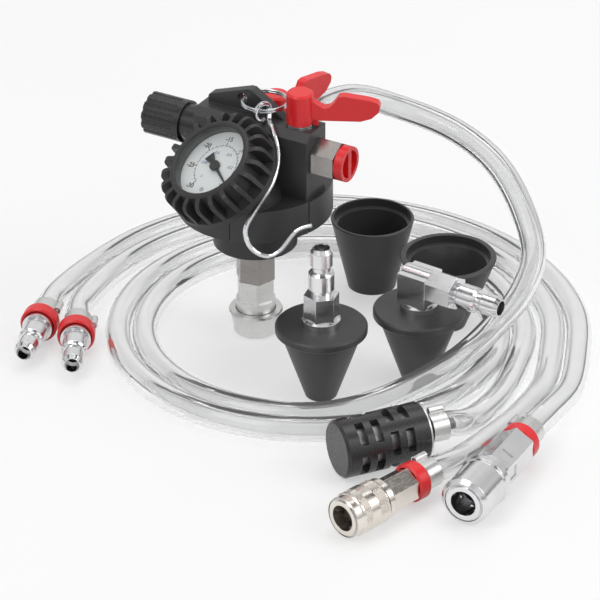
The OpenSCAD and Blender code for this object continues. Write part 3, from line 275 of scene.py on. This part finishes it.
def clear_tube(name):
    """Clear flexible tube: bends what lies behind it, faintly milky, and lets light through."""
    t = material(name)
    haze = noise(t, scale=45, rough=0.5)
    clear = t.add(
        "ShaderNodeBsdfGlass",
        Color=noise_ramp(t, haze, (0.905, 0.908, 0.908), (0.935, 0.937, 0.937)),
        IOR=HOSE_IOR,
        Roughness=noise_range(t, haze, 0.02, 0.06),
    )
    cloud = noise_ramp(t, haze, grey(0.84), grey(0.9))
    face = t.add("ShaderNodeBsdfDiffuse", Color=cloud)
    back = t.add("ShaderNodeBsdfTranslucent", Color=cloud)
    milk = mixed(t, 0.5, face.outputs["BSDF"], back.outputs["BSDF"])
    body = mixed(t, HOSE_MILK, clear.outputs["BSDF"], milk)
    shade = t.add("ShaderNodeBsdfTransparent", Color=rgba(grey(0.95)))
    shadow = t.add("ShaderNodeLightPath").outputs["Is Shadow Ray"]
    return t.surface(mixed(t, shadow, body, shade.outputs["BSDF"]))


def lens_glass(name):
    """Thin glass: Fresnel gloss on the side that faces out, since a back face would mirror all."""
    t = material(name)
    see = t.add("ShaderNodeBsdfTransparent", Color=rgba((0.97, 0.98, 0.98)))
    gloss = t.add(
        "ShaderNodeBsdfGlossy",
        Color=rgba(grey(1.0)),
        Roughness=noise_range(t, noise(t, scale=80, detail=3), 0.02, 0.06),
    )
    fresnel = t.add("ShaderNodeFresnel", IOR=LENS_IOR).outputs["Fac"]
    behind = t.add("ShaderNodeNewGeometry").outputs["Backfacing"]
    front = value_range(t, behind, 0.0, 1.0, 1.0, 0.0)
    shine = t.maths("ShaderNodeMath", "MULTIPLY", fresnel, front).outputs["Value"]
    return t.surface(mixed(t, shine, see.outputs["BSDF"], gloss.outputs["BSDF"]))


def printed(name, colour, other):
    """Paint or ink with a fine paper grain."""
    t = material(name)
    paper = noise(t, scale=900)
    shader = t.add(
        "ShaderNodeBsdfPrincipled",
        Base_Color=noise_ramp(t, paper, other, colour),
        Roughness=noise_range(t, paper, 0.4, 0.55),
    )
    return t.surface(shader.outputs["BSDF"])


black_plastic = moulded(
    "black_plastic",
    dark=(0.031, 0.031, 0.032), light=(0.047, 0.047, 0.048), edge=(0.08, 0.08, 0.082),
    rough=(0.34, 0.5), grain=1500, bump_mm=0.05,
)
black_gloss = moulded(
    "black_gloss",
    dark=(0.02, 0.02, 0.021), light=(0.031, 0.031, 0.032), edge=(0.07, 0.07, 0.072),
    rough=(0.22, 0.34), grain=900, bump_mm=0.012,
)
boot_rubber = moulded(
    "boot_rubber",
    dark=grey(0.022), light=grey(0.034), edge=(0.06, 0.06, 0.061),
    rough=(0.4, 0.56), grain=1100, bump_mm=0.05,
)
cone_rubber = moulded(
    "cone_rubber",
    dark=grey(0.032), light=grey(0.05), edge=grey(0.075),
    rough=(0.34, 0.5), grain=1300, bump_mm=0.05,
)
cup_rubber = moulded(
    "cup_rubber",
    dark=grey(0.032), light=grey(0.05), edge=grey(0.075),
    rough=(0.34, 0.5), grain=1300, bump_mm=0.03, inside_rough=0.22,
)
red_plastic = moulded(
    "red_plastic",
    dark=(0.74, 0.018, 0.022), light=(0.82, 0.024, 0.03), edge=(0.88, 0.08, 0.08),
    rough=(0.26, 0.36), grain=900, bump_mm=0.012,
)
white_plastic = moulded(
    "white_plastic",
    dark=(0.8, 0.8, 0.76), light=(0.88, 0.88, 0.85), edge=(0.9, 0.9, 0.88),
    rough=(0.4, 0.5), grain=900, bump_mm=0.02,
)
foam = moulded(
    "foam",
    dark=(0.45, 0.4, 0.3), light=(0.62, 0.57, 0.46), edge=(0.66, 0.6, 0.5),
    rough=(0.8, 0.95), grain=700, bump_mm=0.4,
)
seal_rubber = moulded(
    "seal_rubber",
    dark=grey(0.01), light=grey(0.016), edge=grey(0.03),
    rough=(0.4, 0.55), grain=900, bump_mm=0.02,
)
chrome = plated(
    "chrome", tint=(0.82, 0.82, 0.83), dim=(0.7, 0.7, 0.71), rough=(0.12, 0.24), lines=260,
)
nickel = plated(
    "nickel", tint=(0.86, 0.81, 0.75), dim=(0.74, 0.69, 0.63), rough=(0.16, 0.3), lines=300,
)
knurl_nickel = plated(
    "knurl_nickel", tint=(0.86, 0.81, 0.75), dim=(0.74, 0.69, 0.63), rough=(0.16, 0.3), lines=300,
    bevel=KNURL_BEVEL,
)
satin = plated(
    "satin_zinc", tint=(0.78, 0.78, 0.77), dim=(0.64, 0.64, 0.63), rough=(0.24, 0.4), lines=320,
)
adaptor_nickel = plated(
    "adaptor_nickel",
    tint=(0.36, 0.343, 0.326), dim=(0.27, 0.258, 0.244), rough=(0.14, 0.28), lines=300,
)
# Strainer screen: steel wire, its colour darkened as painted shade for the dark inside of the
# strainer and the gaps in the mesh
screen_wire_painted_shade = plated(
    "screen_wire_painted_shade", tint=(0.4, 0.4, 0.39), dim=grey(0.14), rough=(0.3, 0.5), lines=2600,
    stretch=(1, 1, 1), bump=0.6,
)
wire = plated(
    "wire", tint=(0.76, 0.77, 0.79), dim=(0.62, 0.63, 0.65), rough=(0.14, 0.26), lines=420,
    stretch=(1, 1, 4),
)
dark_steel = plated("dark_steel", tint=grey(0.2), dim=grey(0.13), rough=(0.3, 0.45), lines=320)
brass = plated(
    "brass", tint=(0.72, 0.55, 0.27), dim=(0.6, 0.44, 0.2), rough=(0.18, 0.32), lines=300,
)
dial_paint = printed("dial_paint", grey(0.88), grey(0.84))
ink = printed("ink", (0.02, 0.02, 0.022), grey(0.03))
blue_ink = printed("blue_ink", (0.13, 0.21, 0.4), (0.17, 0.25, 0.44))
hose_clear = clear_tube("hose_clear")
glass = lens_glass("lens_glass")

LOOK = {
    "housing": black_plastic,
    "silencer_tube": black_gloss,
    "silencer_cap": black_gloss,
    "silencer_core": foam,
    "venturi_jet": brass,
    "venturi_diffuser": brass,
    "inlet_fitting": adaptor_nickel,
    "dust_plug": red_plastic,
    "front_valve_ball": chrome,
    "rear_valve_ball": chrome,
    "valve_seats": white_plastic,
    "gland_nuts": chrome,
    "front_lever": red_plastic,
    "rear_lever": red_plastic,
    "hose_tail": nickel,
    "split_ring": wire,
    "s_hook": wire,
    "gauge_case": dark_steel,
    "gauge_stem": brass,
    "gauge_bourdon": brass,
    "gauge_dial": dial_paint,
    "gauge_needle": ink,
    "gauge_lens": glass,
    "gauge_boot": boot_rubber,
    "outlet_adaptor": adaptor_nickel,
    "unit_socket": satin,
    "unit_sleeve": satin,
    "unit_spring": wire,
    "big_socket": chrome,
    "big_sleeve": chrome,
    "big_spring": wire,
    "small_socket": nickel,
    "small_sleeve": nickel,
    "small_spring": wire,
    "lock_balls_all": chrome,
    "socket_seals": seal_rubber,
    "snap_rings": wire,
    "left_plug": chrome,
    "right_plug": chrome,
    "red_rings": red_plastic,
    "hose_clamps": satin,
    "strainer_body": black_gloss,
    "strainer_screen": screen_wire_painted_shade,
    "straight_stopper": cone_rubber,
    "straight_plug": chrome,
    "elbow_stopper": cone_rubber,
    "elbow_fitting": chrome,
    "elbow_plug": chrome,
    "tall_cup": cup_rubber,
    "short_cup": cup_rubber,
}
for node_name, finish in LOOK.items():
    mesh = nodes[node_name].data
    mesh.materials.clear()
    mesh.materials.append(finish)


# Hose routes in millimetres: the routes of the CAD solids
HOSE_R = 6.0
HOSE_BORE_R = 4.0
HOSE_SIDES = 28
CURVE_STEPS = 5
GAP = 0.1
STRAIGHT = 12
COUPLER_LEAD = 26
STRAINER_LEAD = 20
LOOP_X, LOOP_Y, LOOP_Z = 28, -12, 6.2
ARC_START, ARC_STEP, ARC_POINTS = 150, 18, 10
OUTER_LOOP_R = 126.5
INNER_LOOP_R = 113.9
SPIRAL_START = -90
SPIRAL_R = 81
SPIRAL_PITCH = 12.7
SPIRAL_STEP = 22.5
SPIRAL_POINTS = 30


def vectors(*points):
    return [Vector(p) for p in points]


def lead(end, way, back, height):
    """A hose's end: a small gap, straight out of its fitting, then to the given height."""
    end, out = Vector(end), heading(way)
    far = end - back * out
    return [end - GAP * out, end - STRAIGHT * out, Vector((far.x, far.y, height))]


def lane(radius, angle):
    a = math.radians(angle)
    return Vector((LOOP_X + radius * math.cos(a), LOOP_Y + radius * math.sin(a), LOOP_Z))


def wide_arc(radius):
    return [lane(radius, ARC_START - ARC_STEP * k) for k in range(ARC_POINTS)]


def spiral():
    """The turns round the floor, which widen by SPIRAL_PITCH a turn."""
    turns = [SPIRAL_STEP * k for k in range(SPIRAL_POINTS)]
    return [
        lane(SPIRAL_R + SPIRAL_PITCH * (a + SPIRAL_START) / 360, SPIRAL_START - a)
        for a in turns
    ]


def outer_route():
    route = lead(OUTER_PLUG, OUTER_PLUG_WAY, COUPLER_LEAD, height=8)
    route += wide_arc(OUTER_LOOP_R)
    route += vectors((146, -70, 7.5))
    return route + lead(LARGE_COUPLER, LARGE_COUPLER_WAY, COUPLER_LEAD, height=11)[::-1]


def inner_route():
    route = lead(INNER_PLUG, INNER_PLUG_WAY, COUPLER_LEAD, height=8)
    route += wide_arc(INNER_LOOP_R)
    route += vectors((133.5, -66, 6.2), (120.5, -92, 6.2), (105, -115, 7))
    return route + lead(SMALL_COUPLER, SMALL_COUPLER_WAY, COUPLER_LEAD, height=9)[::-1]


def rear_route():
    tail, way = turned(*HOSE_TAIL), turned(0, 1, 0)
    route = [tail + GAP * way, tail + STRAIGHT * way]
    route.append(tail + 2 * STRAIGHT * way + Vector((0, 0, 1)))
    route += vectors((48, 66, 92), (72, 70, 83), (97, 57, 77.5))
    route += vectors((116, 36, 70), (128, 13, 56), (132, -4, 42))
    route += vectors((125, -20, 30), (112, -36, 22), (95, -58, 17.5))
    route += vectors((70, -74, 10.5), (50, -84, 7.5))
    route += spiral()
    route += vectors((112, -78, 7.5))
    return route + lead(STRAINER, STRAINER_WAY, STRAINER_LEAD, height=12.5)[::-1]


def smooth(points, steps):
    """A curve through the points, with the speed shared out by the gaps between them."""
    p = [2 * points[0] - points[1]] + list(points) + [2 * points[-1] - points[-2]]
    out = []
    for i in range(1, len(p) - 2):
        t0 = 0.0
        t1 = t0 + (p[i] - p[i - 1]).length ** 0.5
        t2 = t1 + (p[i + 1] - p[i]).length ** 0.5
        t3 = t2 + (p[i + 2] - p[i + 1]).length ** 0.5
        for k in range(steps):
            t = t1 + (t2 - t1) * k / steps
            a1 = p[i - 1] * ((t1 - t) / (t1 - t0)) + p[i] * ((t - t0) / (t1 - t0))
            a2 = p[i] * ((t2 - t) / (t2 - t1)) + p[i + 1] * ((t - t1) / (t2 - t1))
            a3 = p[i + 1] * ((t3 - t) / (t3 - t2)) + p[i + 2] * ((t - t2) / (t3 - t2))
            b1 = a1 * ((t2 - t) / (t2 - t0)) + a2 * ((t - t0) / (t2 - t0))
            b2 = a2 * ((t3 - t) / (t3 - t1)) + a3 * ((t - t1) / (t3 - t1))
            out.append(b1 * ((t2 - t) / (t2 - t1)) + b2 * ((t - t1) / (t2 - t1)))
    return out + [points[-1].copy()]


# Mesh helpers
def spoke(k, sides, side, up):
    """The k-th of several directions round an axis."""
    a = 2 * math.pi * k / sides
    return math.cos(a) * side + math.sin(a) * up


def across(axis):
    """Two directions square to an axis and to each other."""
    side = axis.orthogonal().normalized()
    return side, axis.cross(side)


def sweep(bm, path, radius, sides, flip=False):
    """A tube's wall along a path; flip turns its faces inwards."""
    rings = []
    t = (path[1] - path[0]).normalized()
    side = t.cross(Vector((0, 0, 1)))
    if side.length < 0.1:
        side = t.cross(Vector((1, 0, 0)))
    for i, q in enumerate(path):
        t = (path[min(i + 1, len(path) - 1)] - path[max(i - 1, 0)]).normalized()
        side = (side - t * side.dot(t)).normalized()
        up = side.cross(t)
        ring = [bm.verts.new(q + radius * spoke(k, sides, side, up)) for k in range(sides)]
        rings.append(ring)
    for r0, r1 in zip(rings, rings[1:]):
        for k in range(sides):
            f = (r0[k], r0[(k + 1) % sides], r1[(k + 1) % sides], r1[k])
            bm.faces.new(f[::-1] if flip else f)
    return rings


def pipe(path, radius, bore, sides):
    """A closed tube with a bore and square ends."""
    bm = bmesh.new()
    outer = sweep(bm, path, radius, sides)
    inner = sweep(bm, path, bore, sides, flip=True)
    for a, b, turn in ((outer[0], inner[0], False), (outer[-1], inner[-1], True)):
        for k in range(sides):
            f = (a[(k + 1) % sides], a[k], b[k], b[(k + 1) % sides])
            bm.faces.new(f[::-1] if turn else f)
    return bm


def add_object(name, bm, finish, body, smooth_faces=True):
    bm.normal_update()
    mesh = bpy.data.meshes.new(name)
    bm.to_mesh(mesh)
    bm.free()
    for f in mesh.polygons:
        f.use_smooth = smooth_faces
    mesh.materials.append(finish)
    obj = bpy.data.objects.new(name, mesh)
    scene.collection.objects.link(obj)
    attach(obj, body)
    return obj


# Sleeve springs, in metres
SPRING_WIRE_R = 0.35 * MM
SPRING_TURNS = 3
SPRING_STEPS = 24


def sleeve_spring(node, base, out):
    """A coil in the space of the CAD spring."""
    side, up = across(out)
    spots = [nodes[node].matrix_world @ v.co - base for v in nodes[node].data.vertices]
    along = [q.dot(out) for q in spots]
    back, front = min(along), max(along)
    length = front - back
    radius = max((q - q.dot(out) * out).length for q in spots) - SPRING_WIRE_R
    last = SPRING_TURNS * SPRING_STEPS
    path = []
    for k in range(last + 1):
        z = back + SPRING_WIRE_R + (length - 2 * SPRING_WIRE_R) * k / last
        path.append(base + z * out + radius * spoke(k, SPRING_STEPS, side, up))
    bm = bmesh.new()
    rings = sweep(bm, path, SPRING_WIRE_R, sides=10)
    bm.faces.new(rings[0][::-1])
    bm.faces.new(rings[-1])
    obj = add_object(node + "_coil", bm, wire, "head")
    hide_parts(node)
    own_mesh(obj)
    return obj


# Strainer's plate: places along the strainer and radii, in millimetres
PLATE_ALONG = (2.1, 2.3, 2.75, 2.95)
PLATE_R = 13.2
PLATE_BORE_R = 8.7


def strainer_plate():
    """The thin bright plate behind the strainer, round its neck."""
    path = [MM * (Vector(STRAINER) + z * heading(STRAINER_WAY)) for z in PLATE_ALONG]
    bm = pipe(path, PLATE_R * MM, PLATE_BORE_R * MM, sides=64)
    return add_object("strainer_plate", bm, satin, "head", smooth_faces=False)


# Small coupler's sleeve: places along the coupler and radii, in millimetres
SLEEVE_R = 10.2
SLEEVE_BACK = ((26.7, 9.7), (27.2, SLEEVE_R))
SLEEVE_FRONT = ((42.4, SLEEVE_R), (43.0, 9.6), (46.2, 9.6), (46.6, 9.2))
SLEEVE_INSIDE = ((44.8, 9.2), (44.8, 8.3), (35.3, 8.3), (35.3, 9.7))
KNURL_BANDS = ((27.7, 32.7), (38.0, 41.6))
KNURL_EDGE = 0.1
KNURL_DEPTH = 0.3
KNURL_PITCH = 0.6
KNURL_SIDES = 64
SHARP_ANGLE = math.radians(20)


def sleeve_rows():
    """The sleeve's outline: place, radius and, in a knurled row, which points are low."""
    rows = [(z, r, None) for z, r in SLEEVE_BACK]
    for low, high in KNURL_BANDS:
        steps = round((high - low) / KNURL_PITCH)
        rows.append((low - KNURL_EDGE, SLEEVE_R, None))
        rows += [(low + (high - low) * k / steps, SLEEVE_R, k % 2) for k in range(steps + 1)]
        rows.append((high + KNURL_EDGE, SLEEVE_R, None))
    return rows + [(z, r, None) for z, r in SLEEVE_FRONT + SLEEVE_INSIDE]


def knurled_sleeve():
    """The small coupler's sleeve with two knurled bands, in the space of the CAD sleeve."""
    base, out = MM * Vector(SMALL_COUPLER), heading(SMALL_COUPLER_WAY)
    side, up = across(out)
    rows = sleeve_rows()
    bm = bmesh.new()
    rings = []
    for z, r, shift in rows:
        ring = []
        for k in range(KNURL_SIDES):
            low = shift is not None and (k + shift) % 2
            reach = r - KNURL_DEPTH if low else r
            place = z * out + reach * spoke(k, KNURL_SIDES, side, up)
            ring.append(bm.verts.new(base + MM * place))
        rings.append(ring)
    for j, r0 in enumerate(rings):
        r1 = rings[(j + 1) % len(rings)]
        shift = rows[j][2]
        for k in range(KNURL_SIDES):
            n = (k + 1) % KNURL_SIDES
            a, b, c, d = r0[k], r0[n], r1[n], r1[k]
            if shift is None or rows[j + 1][2] is None:
                bm.faces.new((a, b, c, d))
            elif (k + shift) % 2:
                bm.faces.new((a, b, c))
                bm.faces.new((a, c, d))
            else:
                bm.faces.new((a, b, d))
                bm.faces.new((b, c, d))
    bmesh.ops.recalc_face_normals(bm, faces=bm.faces)
    obj = add_object("small_sleeve_knurled", bm, knurl_nickel, "small_coupler_sleeve")
    obj.data.set_sharp_from_angle(angle=SHARP_ANGLE)
    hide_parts("small_sleeve")
    return obj


def hose(name, route, node, with_pieces):
    """A clear hose on its route. The pieces given with it are not used."""
    path = [q * MM for q in smooth(route, CURVE_STEPS)]
    bm = pipe(path, HOSE_R * MM, HOSE_BORE_R * MM, HOSE_SIDES)
    obj = add_object(name, bm, hose_clear, "head")
    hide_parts(node)


def pieces(*names):
    return [nodes[n] for n in names]


hose(
    "clear_hose_rear", rear_route(), "hose_c",
    pieces("strainer_body", "strainer_screen") + [strainer_plate()],
)
sleeve_spring("unit_spring", Vector((0, 0, 0)), Vector((0, 0, -1)))
big_coil = sleeve_spring(
    "big_spring", MM * Vector(LARGE_COUPLER), heading(LARGE_COUPLER_WAY),
)
small_coil = sleeve_spring(
    "small_spring", MM * Vector(SMALL_COUPLER), heading(SMALL_COUPLER_WAY),
)
hose(
    "clear_hose_outer", outer_route(), "hose_a",
    pieces("left_plug", "big_socket", "big_sleeve", "red_rings", "hose_clamps") + [big_coil],
)
hose(
    "clear_hose_inner", inner_route(), "hose_b",
    pieces("right_plug", "small_socket") + [small_coil, knurled_sleeve()],
)


# Dial: printed scales, plain numbers and the dial's screw. Places are in millimetres and degrees
GAUGE_TILT = math.radians(37.9)
GAUGE_HEADING = math.radians(-112.9) + UNIT_TURN
GAUGE_CENTRE = turned(0.6, -35.5, 103.6)
DIAL_LIFT = 0.62
ZERO_ANGLE = 57.2
UNIT_ANGLE = 9.36
LAST_UNIT = 30
LONG_EVERY = 5
UNITS_PER_BAR = 29.53
BAR_STEPS = 20
BAR_LONG_EVERY = 4
SCALE_R = 11.4
TICK_R, TICK_WIDTH = 12.2, 0.2
LONG_TICK_R, LONG_TICK_WIDTH = 13.0, 0.42
FIGURE_R, FIGURE_HEIGHT = 14.9, 2.3
BAR_TICK_R, BAR_LONG_TICK_R = 10.8, 10.3
BAR_FIGURE_R, BAR_FIGURE_HEIGHT = 8.1, 1.5
# A figure's height as a share of the font's size, and its thickening as a share of its height
FIGURE_SHARE = 0.69
FIGURE_WEIGHT = 0.03
SCREW_R, SCREW_ANGLE, SCREW_LIFT = 12.6, 10, 0.85
SCREW_BASE_R, SCREW_TOP_R, SCREW_DEPTH = 1.1 * MM, 0.9 * MM, 0.5 * MM

dial_axis = Vector((
    math.sin(GAUGE_TILT) * math.cos(GAUGE_HEADING),
    math.sin(GAUGE_TILT) * math.sin(GAUGE_HEADING),
    math.cos(GAUGE_TILT),
))
dial_y = Vector((-math.sin(GAUGE_HEADING), math.cos(GAUGE_HEADING), 0))
dial_x = dial_y.cross(dial_axis)


def on_dial(r, angle, lift=DIAL_LIFT):
    a = math.radians(angle)
    across_dial = r * math.cos(a) * dial_x + r * math.sin(a) * dial_y
    return MM * (GAUGE_CENTRE + across_dial + lift * dial_axis)


def arc_strip(bm, r0, r1, a0, a1, steps):
    turns = [a0 + (a1 - a0) * k / steps for k in range(steps + 1)]
    rows = [(bm.verts.new(on_dial(r0, a)), bm.verts.new(on_dial(r1, a))) for a in turns]
    for (p, q), (u, v) in zip(rows, rows[1:]):
        bm.faces.new((p, q, v, u))


def tick(bm, r0, r1, angle, width):
    half = math.degrees(width / (r0 + r1))
    arc_strip(bm, r0, r1, angle - half, angle + half, steps=1)


def figures(bm, text, r, angle, height):
    """A number, upright on the dial, from the built-in font as flat faces."""
    curve = bpy.data.curves.new("figures", "FONT")
    curve.body = text
    curve.size = height / FIGURE_SHARE
    curve.offset = FIGURE_WEIGHT * height
    curve.align_x = "CENTER"
    curve.align_y = "CENTER"
    holder = bpy.data.objects.new("figures", curve)
    mesh = bpy.data.meshes.new_from_object(holder)
    middle = ZERO_ANGLE + LAST_UNIT / 2 * UNIT_ANGLE
    up = (on_dial(1, middle) - on_dial(0, middle)).normalized()
    right = up.cross(dial_axis)
    place = on_dial(r, angle)
    for v in mesh.vertices:
        v.co = place + MM * (v.co.x * right + v.co.y * up)
    bm.from_mesh(mesh)
    bpy.data.meshes.remove(mesh)
    bpy.data.objects.remove(holder)
    bpy.data.curves.remove(curve)


def outer_scale():
    bm = bmesh.new()
    last = ZERO_ANGLE + LAST_UNIT * UNIT_ANGLE
    half = TICK_WIDTH / 2
    arc_strip(bm, SCALE_R - half, SCALE_R + half, ZERO_ANGLE, last, steps=90)
    for unit in range(LAST_UNIT + 1):
        angle = ZERO_ANGLE + unit * UNIT_ANGLE
        if unit % LONG_EVERY:
            tick(bm, SCALE_R, TICK_R, angle, TICK_WIDTH)
        else:
            tick(bm, SCALE_R, LONG_TICK_R, angle, LONG_TICK_WIDTH)
            figures(bm, "-%d" % unit if unit else "0", FIGURE_R, angle, FIGURE_HEIGHT)
    add_object("dial_scale", bm, ink, "head", smooth_faces=False)


def inner_scale():
    bm = bmesh.new()
    for step in range(BAR_STEPS + 1):
        share = step / BAR_STEPS
        angle = ZERO_ANGLE + share * UNITS_PER_BAR * UNIT_ANGLE
        short = step % BAR_LONG_EVERY
        tick(bm, BAR_TICK_R if short else BAR_LONG_TICK_R, SCALE_R, angle, TICK_WIDTH)
        if step and not short:
            figures(bm, "-%g" % share, BAR_FIGURE_R, angle, BAR_FIGURE_HEIGHT)
    add_object("dial_inner_scale", bm, blue_ink, "head", smooth_faces=False)


def dial_screw():
    bm = bmesh.new()
    turn = Matrix((dial_x, dial_y, dial_axis)).transposed().to_4x4()
    place = Matrix.Translation(on_dial(SCREW_R, SCREW_ANGLE, SCREW_LIFT)) @ turn
    bmesh.ops.create_cone(
        bm, cap_ends=True, segments=24,
        radius1=SCREW_BASE_R, radius2=SCREW_TOP_R, depth=SCREW_DEPTH, matrix=place,
    )
    add_object("dial_screw", bm, satin, "head", smooth_faces=False)


outer_scale()
inner_scale()
dial_screw()

# Floor and light. The studio's grey levels go from straight down, 0, to straight up, 1
STUDIO_LEVELS = (
    (0.5, 0.2), (0.53, 0.24), (0.58, 0.85), (0.65, 1.0), (0.85, 0.95),
    (0.865, 0.12), (0.93, 0.12), (0.945, 1.0), (1.0, 1.0),
)
STUDIO_STRENGTH = (0.62, 0.88)
FLOOR_GLOW = 0.48
FLOOR_GREY = (0.44, 0.46)
FLOOR_SIZE = 4
FLOOR_DROP = 0.4 * MM
# Name, place, aim, size and power
LAMPS = (
    ("key", (-0.9, -0.9, 1.5), (0, 0, 0.03), (0.9, 0.9), 8.5),
    ("fill", (1.2, -0.5, 1.0), (0, 0, 0.05), (0.8, 0.8), 6),
    ("top", (0.1, 0.5, 1.7), (0, 0, 0.0), (1.4, 1.0), 8),
)


def studio_world():
    """A white studio with dim walls near the floor and a dark band overhead, seen in the metal."""
    t = Tree(bpy.data.worlds.new("world"), "ShaderNodeOutputWorld")
    way = t.add("ShaderNodeTexCoord").outputs["Generated"]
    split = t.add("ShaderNodeSeparateXYZ", Vector=way)
    height = value_range(t, split.outputs["Z"], -1.0, 1.0, 0.0, 1.0)
    patches = noise(t, scale=1.7, detail=2, rough=0.5, coords=way)
    sky = t.add(
        "ShaderNodeBackground",
        Color=ramp(t, height, [(place, grey(level)) for place, level in STUDIO_LEVELS]),
        Strength=value_range(t, patches, 0.35, 0.65, *STUDIO_STRENGTH),
    )
    return t.surface(sky.outputs["Background"])


def seen_white(t):
    """One for rays that show the floor itself, also in metal and glass; nought for its light."""
    path = t.add("ShaderNodeLightPath").outputs
    total = path["Is Camera Ray"]
    for kind in ("Is Glossy Ray", "Is Transmission Ray"):
        total = t.maths("ShaderNodeMath", "MAXIMUM", total, path[kind]).outputs["Value"]
    return total


def floor_white():
    t = material("floor_white")
    low, high = FLOOR_GREY
    shader = t.add(
        "ShaderNodeBsdfPrincipled",
        Base_Color=noise_ramp(t, noise(t, scale=3, detail=2), grey(low), grey(high)),
        Roughness=0.7,
        Emission_Color=rgba(grey(1.0)),
        Emission_Strength=value_range(t, seen_white(t), 0.0, 1.0, 0.0, FLOOR_GLOW),
    )
    return t.surface(shader.outputs["BSDF"])


def make_floor():
    bm = bmesh.new()
    bmesh.ops.create_grid(bm, x_segments=1, y_segments=1, size=FLOOR_SIZE)
    mesh = bpy.data.meshes.new("floor")
    bm.to_mesh(mesh)
    bm.free()
    mesh.materials.append(floor_white())
    floor = bpy.data.objects.new("floor", mesh)
    floor.location = (0, 0, -FLOOR_DROP)
    scene.collection.objects.link(floor)


def make_lamp(name, place, aim, size, power):
    data = bpy.data.lights.new(name, "AREA")
    data.shape = "RECTANGLE"
    data.size, data.size_y = size
    data.energy = power
    lamp = bpy.data.objects.new(name, data)
    lamp.location = place
    lamp.rotation_euler = (Vector(aim) - Vector(place)).to_track_quat("-Z", "Y").to_euler()
    scene.collection.objects.link(lamp)


make_floor()
scene.world = studio_world()
for lamp_row in LAMPS:
    make_lamp(*lamp_row)
